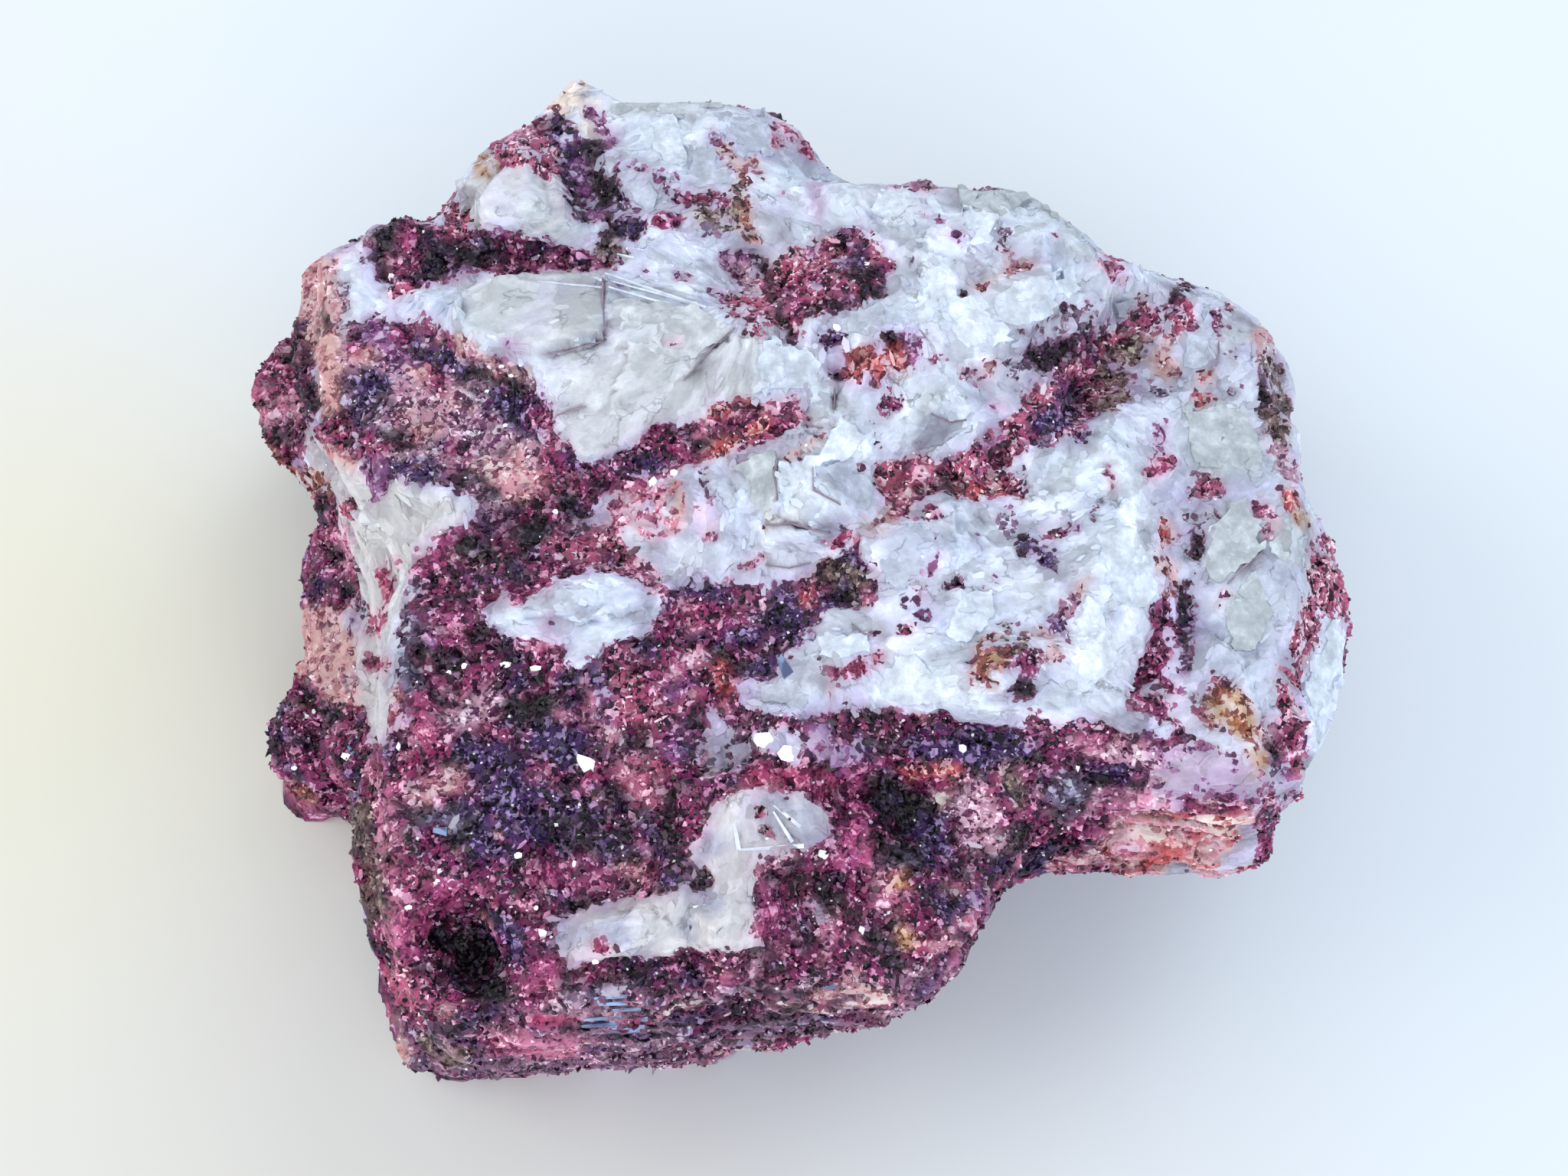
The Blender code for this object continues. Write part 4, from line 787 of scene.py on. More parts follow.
def distance_to_path(spots, path):
    return np.linalg.norm(spots - nearest_on_path(spots, path), axis=1)


def inside_outline(spots, outline):
    """Whether each spot is inside a closed outline."""
    count = np.zeros(len(spots), dtype=bool)
    for (u0, v0), (u1, v1) in zip(outline, outline[1:] + outline[:1]):
        crosses = (spots[:, 1] < v0) != (spots[:, 1] < v1)
        slope = (u1 - u0) / ((v1 - v0) or 1e-9)
        count ^= crosses & (spots[:, 0] < u0 + (spots[:, 1] - v0) * slope)
    return count


# The stone's outline as the eye sees it, in pixels. What stands out past it is drawn in.
OUTLINE = [
    (752, 100), (800, 128), (860, 136), (945, 130), (1010, 132), (1045, 170), (1070, 214), (1115, 242),
    (1190, 236), (1260, 248), (1350, 234), (1400, 284), (1440, 334), (1498, 352), (1580, 370), (1640, 420),
    (1680, 450), (1692, 560), (1695, 626), (1735, 710), (1758, 775), (1768, 830), (1757, 885), (1735, 945),
    (1715, 980), (1697, 1008), (1694, 1038), (1670, 1054), (1656, 1078), (1652, 1122), (1636, 1140),
    (1585, 1153), (1520, 1143), (1430, 1132), (1345, 1140), (1305, 1160), (1270, 1225), (1245, 1270),
    (1210, 1300), (1150, 1332), (1075, 1345), (985, 1376), (930, 1392), (850, 1388), (740, 1395),
    (650, 1402), (605, 1420), (530, 1400), (512, 1375), (535, 1343), (510, 1280), (488, 1225), (466, 1130),
    (450, 1055), (400, 1036), (358, 1003), (358, 945), (370, 890), (395, 850), (393, 790), (400, 690),
    (396, 645), (360, 612), (330, 560), (333, 500), (362, 455), (395, 410), (398, 340), (460, 322),
    (490, 298), (530, 283), (565, 298), (595, 255), (625, 200), (705, 150),
]
TRIM_REACH = 3.2 * MM
TRIM_FADE = 2 * MM
FLANK_ROUNDS = 45
FLANK_SLOPES = (0.30, 0.58)
skin_pixel = pixels_of(at)
trimmed = nearest_on_path(skin_pixel, OUTLINE + OUTLINE[:1]) - skin_pixel
trimmed[inside_outline(skin_pixel, OUTLINE)] = 0.0
pixel_size = PER_PIXEL * ((at - np.array(camera.location)) @ -np.array(camera_back))
pull = trimmed[:, :1] * np.array([1.0, 0.0, 0.0]) - trimmed[:, 1:] * np.array(camera_up)
pull *= pixel_size[:, None]
length = np.linalg.norm(pull, axis=1)[:, None]
at += pull * np.minimum(1.0, TRIM_REACH / (length + 1e-12)) * ramp(at[:, 2], 0.0, TRIM_FADE)[:, None]
skin_mesh.vertices.foreach_set("co", at.ravel())
skin_mesh.update()
facing = mesh_normals(skin_mesh)
at_mm = at / MM
flank = 1.0 - ramp(averaged(skin_mesh, facing[:, 2], FLANK_ROUNDS), *FLANK_SLOPES)

# Where the eye sees each point, in pixels. What is hidden just past an edge takes the pixel of
# the nearest point that is seen, so that a vein runs on over the edge.
EDGE_REACH = 2.2 * MM
EDGE_UNEVEN = 0.6 * EDGE_REACH
SIGHT_SLACK = 0.6 * MM


def surface_tree(mesh):
    return BVHTree.FromPolygons([v.co for v in mesh.vertices], [p.vertices[:] for p in mesh.polygons])


skin_tree = surface_tree(skin_mesh)
eye = camera.location
seen = np.zeros(len(at), dtype=bool)
for index, point in enumerate(skin_mesh.vertices):
    if (eye - point.co).dot(point.normal) > 0:
        way = point.co - eye
        hit = skin_tree.ray_cast(eye, way.normalized())
        seen[index] = hit[0] is not None and hit[3] > way.length - SIGHT_SLACK
pixel = pixels_of(at)
finder = point_finder(at, np.flatnonzero(seen))
past_edge = np.zeros(len(at))
for index in np.flatnonzero(~seen):
    _, neighbour, reach = finder.find(skin_mesh.vertices[index].co)
    past_edge[index] = reach
    pixel[index] = pixel[neighbour]
past_edge += EDGE_UNEVEN * rough_noise(at_mm / 2.2, 11)

# Paints the kinds: hidden sides in beds first, then the patches, then the streaks.
EDGE_RAGGED = 10.0
STREAK_RAGGED = 0.55
STREAK_GAP_SIZE = 0.7
STREAK_GAP_LEVEL = 0.26
BED_THICKNESS = 2.6
THIN_BED = 0.9
# Which kinds the beds are, each where a noise is under its level and over that of the next one.
HIDDEN_BEDS = (("rose", 9), ("feldspar", 0.42), ("mauve", 0.12), ("magenta", 0.02), ("umber", -0.2),
               ("wine", -0.28), ("dark", -0.55), ("olive", -0.72))
FRONT_BEDS = (("umber", 9), ("plum", 0.24), ("umber", 0.12), ("wine", 0.04), ("umber", -0.06), ("dark", -0.20),
              ("mauve", -0.30), ("wine", -0.40), ("cream", -0.62))
MOTTLES = [
    ("magenta", "wine", 3.2, 0.10), ("magenta", "plum", 2.2, 0.30), ("magenta", "dark", 1.4, 0.22),
    ("magenta", "garnet", 1.3, 0.40), ("magenta", "mauve", 0.8, 0.42), ("magenta", "rose", 0.8, 0.50),
    ("magenta", "ink", 1.5, 0.33), ("wine", "dark", 1.2, 0.26), ("wine", "rose", 0.9, 0.40),
    ("wine", "plum", 2.0, 0.34), ("garnet", "wine", 1.1, 0.22), ("garnet", "pink", 0.9, 0.38),
    ("garnet", "ink", 1.2, 0.42), ("garnet", "lilac", 0.9, 0.38), ("mauve", "wine", 1.2, 0.30),
    ("mauve", "plum", 1.8, 0.36), ("mauve", "tan", 1.3, 0.28), ("plum", "ink", 1.0, 0.26),
    ("plum", "dusk", 0.9, 0.40), ("dark", "plum", 1.1, 0.30), ("coral", "wine", 0.9, 0.34),
    ("salmon", "coral", 1.2, 0.20), ("salmon", "wine", 0.9, 0.44), ("salmon", "pink", 1.0, 0.36),
    ("tan", "mauve", 1.1, 0.30), ("rose", "pink", 0.9, 0.24), ("rose", "wine", 0.8, 0.40),
    ("feldspar", "grey", 3.0, 0.40), ("feldspar", "lilac", 2.6, 0.46), ("feldspar", "bright", 1.8, 0.22),
    ("veil", "feldspar", 1.8, 0.20), ("veil", "grey", 2.0, 0.44), ("bright", "feldspar", 1.8, 0.16),
    ("bright", "veil", 1.6, 0.40), ("bright", "grey", 1.6, 0.46), ("green", "grey", 2.0, 0.35),
]
ragged = rough_noise(at_mm / 1.5, 21)
ragged_fine = smooth_noise(at_mm / 0.5, 27)

kind = np.full(len(at), KIND_NUMBER["feldspar"])
thin_bed = rough_noise(at_mm / (9.0, 9.0, THIN_BED), 38)
bed = rough_noise(at_mm / (16, 16, BED_THICKNESS), 31) + 0.35 * rough_noise(at_mm / 7.0, 35) + 0.45 * thin_bed
for name, level in HIDDEN_BEDS:
    kind[bed < level] = KIND_NUMBER[name]
by_eye = seen | (past_edge < EDGE_REACH)
kind[by_eye] = KIND_NUMBER["feldspar"]

for name, _, outline in PATCHES:
    away = distance_to_path(pixel, outline + outline[:1])
    depth = np.where(inside_outline(pixel, outline), away, -away) + EDGE_RAGGED * (ragged + 0.5 * ragged_fine)
    kind[by_eye & (depth > 0)] = KIND_NUMBER[name]
for channel, (name, other, size, level) in enumerate(MOTTLES, 200):
    mottled = rough_noise(at_mm / size, channel * 7) > level
    kind[(kind == KIND_NUMBER[name]) & mottled] = KIND_NUMBER[other]
in_beds = kind == KIND_NUMBER["umber"]
for name, level in FRONT_BEDS:
    kind[in_beds & (thin_bed < level)] = KIND_NUMBER[name]
feldspar_numbers = [KIND_NUMBER[name] for name in FELDSPAR_KINDS]
in_feldspar = np.isin(kind, feldspar_numbers)
uneven = BREAK_RAGGED * np.stack([ragged, rough_noise(at_mm / 1.5, 24)], axis=1)
# Paints the breaks' tones, partly painted light and shade of the faces.
for name, outline in BREAKS:
    kind[by_eye & in_feldspar & inside_outline(pixel + uneven, outline)] = KIND_NUMBER[name]
gap = rough_noise(at_mm / STREAK_GAP_SIZE, 39) > STREAK_GAP_LEVEL
for name, width, path in STREAKS:
    uneven = min(STREAK_RAGGED * width, EDGE_RAGGED) * (ragged + 0.6 * ragged_fine)
    kind[by_eye & ~gap & (distance_to_path(pixel, path) < width + uneven)] = KIND_NUMBER[name]

# Breaks the skin: feldspar into flat facets with plates and finer plates on them that lie one way in
# each grain; mica into grit; the flanks into thin leaves. Cleavage steps are drawn where they are
# seen. Sizes are in mm. A step is how far the levels of neighbours differ, and a lean how far one
# plate tips.
GRAIN_SIZE = 8.5
PLATE_SIZE = (5.6, 3.8, 3.0)
PLATE_STEP = 0.18
PLATE_LEAN = 0.22
FINE_PLATE_SIZE = (2.4, 1.5, 1.3)
FINE_PLATE_STEP = 0.07
FINE_PLATE_LEAN = 0.10
PLATE_RAGGED = 0.4
RAGGED_SIZE = 1.7
BLADE_TILT = math.radians(20)
CRACK_DEPTH = 0.08
CRACK_WIDTH = 0.08
GRIT_SIZE = 0.95
GRIT_STEP = 0.44
GRIT_LEAN = 0.3
LEAF_SIZE = (7.0, 7.0, 0.8)
LEAF_STEP = 0.6
LEAF_LEAN = 0.2
MICA_DROP = 0.25
# How much of the plates' relief is left where no blades are, and of the grit's where no mica is.
PLATES_LEFT = 0.15
FINE_PLATES_LEFT = 0.35
GRIT_LEFT = 0.05
# The skin is calmed first, and then drawn onto the facets of a coarse copy, by these shares.
CALM_ROUNDS = 10
BLADED_CALM = 0.6
FACETS = 3600
FACET_SHARE = 0.92
# Near the floor the relief fades out between these heights.
FLOOR_FADE = (0.2, 1.6)
# Plates that are flat over their whole patch, and how far in mm they are levelled at most.
FLAT_PLATES = ["upper grey plate", "left grey plate", "wide plate"]
FLAT_REACH = (0.6, 1.2)
EVEN_WAY_ROUNDS = 8
# How high the left-hand side of each line stands over its right-hand side in mm, and the line.
CLEAVAGE_STEPS = [
    (0.4, [(790, 362), (791, 441), (745, 450), (700, 456)]),
    (0.40, [(726, 462), (788, 446), (828, 452), (819, 476), (806, 494), (799, 538)]),
    (0.35, [(731, 545), (799, 527), (845, 507), (894, 489), (964, 432)]),
    (-0.40, [(903, 476), (960, 436), (1035, 450), (1026, 494), (990, 511), (982, 538)]),
    (-0.55, [(1087, 520), (1083, 564), (1035, 600), (1021, 608), (1021, 648), (1008, 674), (1043, 688),
             (1123, 696)]),
    (0.35, [(905, 350), (960, 395), (1030, 440)]), (0.40, [(620, 830), (700, 800), (760, 812), (850, 790)]),
    (0.30, [(770, 745), (790, 790), (760, 812)]),
    (0.35, [(800, 1215), (860, 1195), (930, 1210), (1000, 1190)]),
    (-0.35, [(1105, 250), (1150, 300), (1210, 330), (1290, 350)]),
    (0.35, [(1560, 420), (1600, 520), (1590, 620), (1640, 740)]),
    (0.35, [(1450, 620), (1480, 700), (1470, 800), (1500, 880)]),
    (-0.30, [(1560, 800), (1620, 860), (1650, 940)]),
]
STEP_REACH = 26.0
# Plates whose blades spread from one spot: where the spot is seen, and the outline of the plates.
FAN_APEX = (990, 392)
FAN_OUTLINE = [(600, 356), (800, 348), (880, 300), (990, 360), (1010, 440), (1090, 500), (1085, 545),
               (1050, 560), (960, 540), (860, 575), (760, 600), (700, 470), (600, 420)]
FAN_WIDTH = 12.0


def per_point(title):
    """What the table of kinds says under a title, for each point."""
    column = KIND_COLUMNS.index(title)
    return np.array([KINDS[name][column] for name in KINDS], dtype=float)[kind]


def grain_frames(points_mm):
    """The three ways along which the blades lie at each point, the same all through a grain."""
    _, name, _ = nearest_cells(points_mm / GRAIN_SIZE, 41)
    heading = cell_random(name, 45) * math.pi
    tilt = (cell_random(name, 46) - 0.5) * 2 * BLADE_TILT
    along = np.stack([np.cos(heading) * np.cos(tilt), np.sin(heading) * np.cos(tilt), np.sin(tilt)], axis=1)
    across = np.stack([-np.sin(heading), np.cos(heading), np.zeros(len(heading))], axis=1)
    return along, across, np.cross(along, across), 20.0 * cell_random(name, 47)[:, None]


def plates_lift(points, size, step, lean, channel):
    """Breaks a surface into cells, each a flat face with its own level and lean."""
    cells = points / size
    centre, name, depth = nearest_cells(cells, channel)
    slope = np.stack([cell_random(name, channel + 5 + k) - 0.5 for k in range(3)], axis=1)
    lift = (cell_random(name, channel + 4) - 0.5) * step + ((cells - centre) * slope).sum(axis=1) * lean
    return lift - CRACK_DEPTH * (1 - ramp(depth, 0.0, CRACK_WIDTH))


def flattened(points, normals, names, reach):
    """Moves points of the same name onto the plane that they lie about, unless they are far off."""
    _, cell = np.unique(names, axis=0, return_inverse=True)
    cell = cell.ravel()
    count = np.bincount(cell)
    middle = np.stack([np.bincount(cell, points[:, k]) / count for k in range(3)], axis=1)[cell]
    way = np.stack([np.bincount(cell, normals[:, k]) for k in range(3)], axis=1)[cell]
    way /= np.linalg.norm(way, axis=1)[:, None] + 1e-9
    off = ((points - middle) * way).sum(axis=1)
    off *= 1 - ramp(np.abs(off), reach[0] * MM, reach[1] * MM)
    return points - way * off[:, None]


mica = averaged(skin_mesh, per_point("mica"), 1)
bladed = averaged(skin_mesh, per_point("blades"), 2)
*frames, offset = grain_frames(at_mm)
in_grain = np.stack([(at_mm * axis).sum(axis=1) for axis in frames], axis=1) + offset
for k in range(3):
    in_grain[:, k] += PLATE_RAGGED * rough_noise(at_mm / RAGGED_SIZE, 400 + 10 * k)
plate_lift = plates_lift(in_grain, PLATE_SIZE, PLATE_STEP, PLATE_LEAN, 51)
fine_plate_lift = plates_lift(in_grain, FINE_PLATE_SIZE, FINE_PLATE_STEP, FINE_PLATE_LEAN, 91)
feldspar_lift = plate_lift * (PLATES_LEFT + (1 - PLATES_LEFT) * bladed)
feldspar_lift += fine_plate_lift * (FINE_PLATES_LEFT + (1 - FINE_PLATES_LEFT) * bladed)
grit_lift = plates_lift(at_mm, GRIT_SIZE, GRIT_STEP, GRIT_LEAN, 61)
leaf_lift = plates_lift(at_mm, LEAF_SIZE, LEAF_STEP, LEAF_LEAN, 71)

step_lift = np.zeros(len(at))
for height, path in CLEAVAGE_STEPS:
    for start, end in zip(path, path[1:]):
        along = np.array(end, float) - start
        beyond = (pixel - start) @ along / (along @ along)
        side = ((pixel - start) @ np.array([along[1], -along[0]])) / np.linalg.norm(along)
        near = by_eye & (beyond > -0.1) & (beyond < 1.1) & (np.abs(side) < STEP_REACH)
        rise = height / 2 * (1 - np.abs(side) / STEP_REACH) * np.sign(side + 3 * ragged)
        step_lift = np.where(near & (np.abs(rise) > np.abs(step_lift)), rise, step_lift)

not_flank = 1 - flank
lift = feldspar_lift * (1 - mica) * not_flank
lift += step_lift * (1 - mica)
lift += leaf_lift * flank
lift += grit_lift * (GRIT_LEFT + (1 - GRIT_LEFT) * mica)
lift -= MICA_DROP * mica * not_flank
lift *= ramp(at_mm[:, 2], *FLOOR_FADE)
calm = ((1 - (1 - BLADED_CALM) * bladed) * (1 - mica) * not_flank)[:, None]
calmed = averaged(skin_mesh, at, CALM_ROUNDS)
at = at * (1 - calm) + calmed * calm
even_way = averaged(skin_mesh, facing, EVEN_WAY_ROUNDS)
coarse = skin_mesh.copy()
coarse.vertices.foreach_set("co", calmed.ravel())
coarse = modified(coarse, "DECIMATE", ratio=FACETS / (2 * len(skin_mesh.polygons)),
                  use_collapse_triangulate=True)
facet_tree = surface_tree(coarse)
on_facets = np.array([facet_tree.find_nearest(place)[0] for place in at])
at += (on_facets - at) * (FACET_SHARE * (1 - mica) * not_flank)[:, None]
flat_name = np.zeros((len(at), 1), int)
for number, wanted in enumerate(FLAT_PLATES, 1):
    for _, title, outline in PATCHES:
        if title == wanted:
            flat_name[by_eye & inside_outline(pixel, outline)] = number
at += (flattened(at, even_way, flat_name, FLAT_REACH) - at) * (flat_name > 0)
at += facing * (lift * MM)[:, None]
at[:, 2] = np.maximum(at[:, 2], 0.0)
skin_mesh.vertices.foreach_set("co", at.ravel())
skin_mesh.update()

# Thins the skin: flat faces go on fewer triangles, and edges stay. Each point keeps its kind.
finder = point_finder(at, range(len(at)))
skin_mesh = modified(skin_mesh, "DECIMATE", ratio=SKIN_TRIANGLES / (2 * len(skin_mesh.polygons)),
                     use_collapse_triangulate=True)
skin_mesh.name = "stone_skin"
nearest = np.array([finder.find(vertex.co)[1] for vertex in skin_mesh.vertices])
kind, flank, seen, pixel = kind[nearest], flank[nearest], seen[nearest], pixel[nearest]
level = feldspar_lift[nearest]
at = mesh_points(skin_mesh)
at_mm = at / MM
facing = mesh_normals(skin_mesh)
hollow = ((averaged(skin_mesh, at, 3) - at) * facing).sum(axis=1) / MM


def linear(shade):
    """A shade on a screen, 0 to 255, as the light it gives back."""
    shade = np.asarray(shade, dtype=float) / 255
    return np.where(shade < 0.04, shade / 12.92, ((shade + 0.055) / 1.055) ** 2.4)


# What the shader and the scattering need to know of each point. Close to mica the feldspar is
# stained by it. Hidden sides carry fewer flakes and chips, and the rim at the floor none.
STAIN = (0.80, 0.62, 0.79)
STAIN_ROUNDS = 14
DRIFT = 0.10
WARMTH = (0.09, -0.03, -0.06)
HIDDEN_SHARE = 0.55
BARE_RIM = 1.5
drift = 1 + DRIFT * rough_noise(at_mm / 4.0, 81)[:, None]
warmth = rough_noise(at_mm / 3.0, 85)[:, None] * WARMTH
stain = averaged(skin_mesh, per_point("mica"), STAIN_ROUNDS) * (1.1 + 1.6 * rough_noise(at_mm / 1.6, 88))
stain = np.clip(stain, 0, 1) * np.isin(kind, feldspar_numbers)
for title in KIND_COLUMNS[:4]:
    shade = averaged(skin_mesh, linear(per_point(title)), 1) * drift
    shade *= 1 + warmth * (0.25 if title == "body" else 1.0)
    if title == "body":
        shade *= 1 - stain[:, None] * (1 - np.array(STAIN))
    opaque = np.ones((len(at), 1))
    store(skin_mesh, title, "FLOAT_COLOR", np.concatenate([np.clip(shade, 0, 1), opaque], axis=1))
mica_share = averaged(skin_mesh, per_point("mica"), 1)
clear_of_floor = (at_mm[:, 2] > BARE_RIM) * np.where(seen, 1.0, HIDDEN_SHARE)
store(skin_mesh, "mica", "FLOAT", mica_share)
store(skin_mesh, "flank", "FLOAT", flank)
store(skin_mesh, "hollow", "FLOAT", hollow)
store(skin_mesh, "level", "FLOAT", level)
store(skin_mesh, "bladed", "FLOAT", averaged(skin_mesh, per_point("blades"), 2))
store(skin_mesh, "flakes", "FLOAT", per_point("flakes") * clear_of_floor)
store(skin_mesh, "blades", "FLOAT", per_point("blades") * clear_of_floor * (1 - flank))
even_way = averaged(skin_mesh, facing, EVEN_WAY_ROUNDS)
store(skin_mesh, "calm_way", "FLOAT_VECTOR", even_way / np.linalg.norm(even_way, axis=1)[:, None])
apex = at_mm[np.argmin(np.linalg.norm(pixel - FAN_APEX, axis=1) + 1e6 * ~seen)]
in_fan = inside_outline(pixel, FAN_OUTLINE)
heading = np.where(in_fan[:, None], at_mm - apex, grain_frames(at_mm)[0])
store(skin_mesh, "heading", "FLOAT_VECTOR", heading / np.linalg.norm(heading + 1e-9, axis=1)[:, None])
upright = np.array([0.0, 0.0, 1.0])
store(skin_mesh, "lie", "FLOAT_VECTOR", facing * (1 - flank)[:, None] + upright * flank[:, None])

# Where each corner of a face lies along and across the blades of its grain, in mm. On the flanks it
# is the place in the beds. A face keeps one grain, so that no blade is torn. Bare plates are smooth.
FLANK_STRETCH = (1.0, 0.25, 1.2)
corner_point = np.empty(len(skin_mesh.loops), np.int32)
skin_mesh.loops.foreach_get("vertex_index", corner_point)
corner_count = np.empty(len(skin_mesh.polygons), np.int32)
skin_mesh.polygons.foreach_get("loop_total", corner_count)
corner_face = np.repeat(np.arange(len(corner_count)), corner_count)
corner_mm = at_mm[corner_point]
centre = np.stack([np.bincount(corner_face, column) / corner_count for column in corner_mm.T], axis=1)
*frames, offset = grain_frames(centre)
in_grain = np.stack([(corner_mm * axis[corner_face]).sum(axis=1) for axis in frames], axis=1)
in_grain += offset[corner_face]
from_apex = corner_mm - apex
fan_angle = np.arctan2(from_apex[:, 1], -from_apex[:, 0])
fan_reach = np.hypot(from_apex[:, 0], from_apex[:, 1])
fan_place = np.stack([fan_reach, fan_angle * FAN_WIDTH, from_apex[:, 2]], axis=1)
in_grain = np.where(in_fan[corner_point][:, None], fan_place, in_grain)
on_flank = (flank[corner_point] > 0.5)[:, None]
store(skin_mesh, "blade", "FLOAT_VECTOR", np.where(on_flank, corner_mm * FLANK_STRETCH, in_grain), "CORNER")
on_plate = (mica_share < 0.2) & (per_point("blades") < 0.3)
for polygon in skin_mesh.polygons:
    polygon.use_smooth = bool(all(on_plate[index] for index in polygon.vertices))

# The skin's finish. Where mica is, each small cell is a grain, glossy and tipped its own way. Feldspar
# shows as panes within panes, with thin layers that end in steps like islands, hazy in places,
# stained near mica, and darkened in its hollows by brown dirt and painted shade. Mica and feldspar
# are both painted darker in hollows and lighter on ridges.
GRIT_CELLS = 2.1
FINE_GRIT_CELLS = 4.4
GRIT_WARP = 0.45
EDGE_SCATTER = 0.6
FINE_SHARE = 0.55
BED_SHARE = 0.6
MICA_TIP = 1.0
LATH_CELLS = (0.35, 2.2, 2.2)
LATH_TIP = 0.05
LATH_LIGHT = (0.975, 1.025)
# Of each size of pane: how many to a millimetre along the blades and across them, the darkest and
# the lightest, how wide the seams round them are, and how far one tips.
PANES = [
    ((0.14, 0.26, 0.26), 0.83, 1.13, 0.018, 0.19), ((0.34, 0.62, 0.62), 0.84, 1.13, 0.034, 0.16),
    ((0.80, 1.3, 1.3), 0.90, 1.10, 0.0, 0.12),
]
PANE_WARP = 0.8
SEAM_SHADE = 0.62
SEAM_CLOUD = 0.45
SEAMS_GONE = (0.38, 0.46)
ISLAND_CELLS = (0.42, 0.85, 0.85)
ISLAND_DETAIL = 6.0
ISLAND_ROUGHNESS = 0.62
ISLAND_LEVELS = (0.43, 0.49, 0.55, 0.61)
ISLAND_EDGE = 0.004
ISLAND_STEP = 0.070
LEVEL_RANGE = (-0.14, 0.14, 0.96, 1.04)
HAZE = (0.93, 0.89, 0.99)
HAZE_CLOUD = 0.28
HAZE_RANGE = (0.50, 0.66, 0.0, 0.8)
# Brown dirt and painted shade in the feldspar's hollows: its colour, and the hollow depths over which it comes
# in.
DIRT_AND_HOLLOW_SHADE = (0.22, 0.17, 0.19, 1.0)
DIRT_AND_HOLLOW_SHADE_RANGE = (0.08, 0.32, 0.0, 0.55)
# Painted shade and light by relief: mica and feldspar are darker in hollows and lighter on ridges, by these
# factors.
MICA_PAINTED_RELIEF_SHADING = (-0.12, 0.16, 1.22, 0.50)
BODY_PAINTED_RELIEF_SHADING = (-0.12, 0.20, 1.03, 0.88)
BODY_ROUGHNESS = 0.48
MICA_ROUGHNESS = 0.28
STONE_GLOSS = 0.3


def attribute(tree, name, output):
    return node(tree, "ShaderNodeAttribute", attribute_name=name).outputs[output]


def mapped(tree, value, low, high, to_low=0.0, to_high=1.0):
    return node(tree, "ShaderNodeMapRange", {"Value": value, "From Min": low, "From Max": high,
                                             "To Min": to_low, "To Max": to_high}).outputs[0]


def maths(tree, operation, first, second):
    return node(tree, "ShaderNodeMath", {0: first, 1: second}, operation=operation).outputs[0]


def vectors(tree, operation, first, second=None, scale=None):
    inputs = {0: first}
    if second is not None:
        inputs[1] = second
    if scale is not None:
        inputs["Scale"] = scale
    return node(tree, "ShaderNodeVectorMath", inputs, operation=operation).outputs[0]


def mix_numbers(tree, first, second, share):
    return node(tree, "ShaderNodeMix", {"Factor": share, 2: first, 3: second}).outputs[0]


def cells_of(tree, place, scale):
    """Splits space into cells, and gives a random colour and three random numbers for each."""
    colour = node(tree, "ShaderNodeTexVoronoi", {"Vector": place, "Scale": scale}).outputs["Color"]
    return colour, node(tree, "ShaderNodeSeparateXYZ", {0: colour}).outputs


def clouds(tree, place, scale, detail, output="Fac"):
    return node(tree, "ShaderNodeTexNoise", {"Vector": place, "Scale": scale, "Detail": detail}).outputs[output]


def off_middle(tree, colour, scale):
    """How far a random colour is from middle grey, as a way to tip or to shift."""
    return vectors(tree, "SCALE", vectors(tree, "SUBTRACT", colour, second=(0.5, 0.5, 0.5)), scale=scale)


def pick_shades(tree, chance, spread=0.05, deep_share=0.30, pale_share=0.18):
    """The common shade, or the deep or pale one, as chance says from 0 to 1."""
    tint, deep, pale = (attribute(tree, name, "Color") for name in ("tint", "deep", "pale"))
    is_deep = mapped(tree, chance, deep_share + spread, deep_share - spread)
    is_pale = mapped(tree, chance, 1 - pale_share - spread, 1 - pale_share + spread)
    return mix_colours(tree, mix_colours(tree, tint, deep, is_deep), pale, is_pale)


def island_light(tree, place, scale, step_light, light):
    """Lightens a shade in small even steps, as thin layers do that end one past the other."""
    islands = node(tree, "ShaderNodeTexNoise", {"Vector": place, "Scale": scale, "Detail": ISLAND_DETAIL,
                                                "Roughness": ISLAND_ROUGHNESS}).outputs["Fac"]
    for island_level in ISLAND_LEVELS:
        step = mapped(tree, islands, island_level - ISLAND_EDGE, island_level + ISLAND_EDGE, -0.5, 0.5)
        step = maths(tree, "MULTIPLY", step, step_light)
        light = maths(tree, "MULTIPLY", light, maths(tree, "ADD", step, 1.0))
    return light


stone, tree, shader = new_material("stone")
place_mm = vectors(tree, "SCALE", object_place(tree), scale=1 / MM)
warp = off_middle(tree, clouds(tree, place_mm, 1.7, 2.0, "Color"), GRIT_WARP * 2)
grit_place = vectors(tree, "ADD", place_mm, second=warp)
_, grit_cell = cells_of(tree, grit_place, GRIT_CELLS)
fine_colour, fine_cell = cells_of(tree, grit_place, FINE_GRIT_CELLS)
blade_place = attribute(tree, "blade", "Vector")
lath_colour, lath_cell = cells_of(tree, vectors(tree, "MULTIPLY", blade_place, second=LATH_CELLS), 1.0)

scatter = mapped(tree, grit_cell[2], 0.0, 1.0, -EDGE_SCATTER / 2, EDGE_SCATTER / 2)
is_mica = maths(tree, "GREATER_THAN", maths(tree, "ADD", attribute(tree, "mica", "Fac"), scatter), 0.5)
is_fine = maths(tree, "GREATER_THAN", grit_cell[1], 1 - FINE_SHARE)
grain_chance = mix_numbers(tree, grit_cell[0], fine_cell[0], is_fine)
in_bed = maths(tree, "MULTIPLY", attribute(tree, "flank", "Fac"), BED_SHARE)
mica_shade = pick_shades(tree, mix_numbers(tree, grain_chance, lath_cell[0], in_bed))

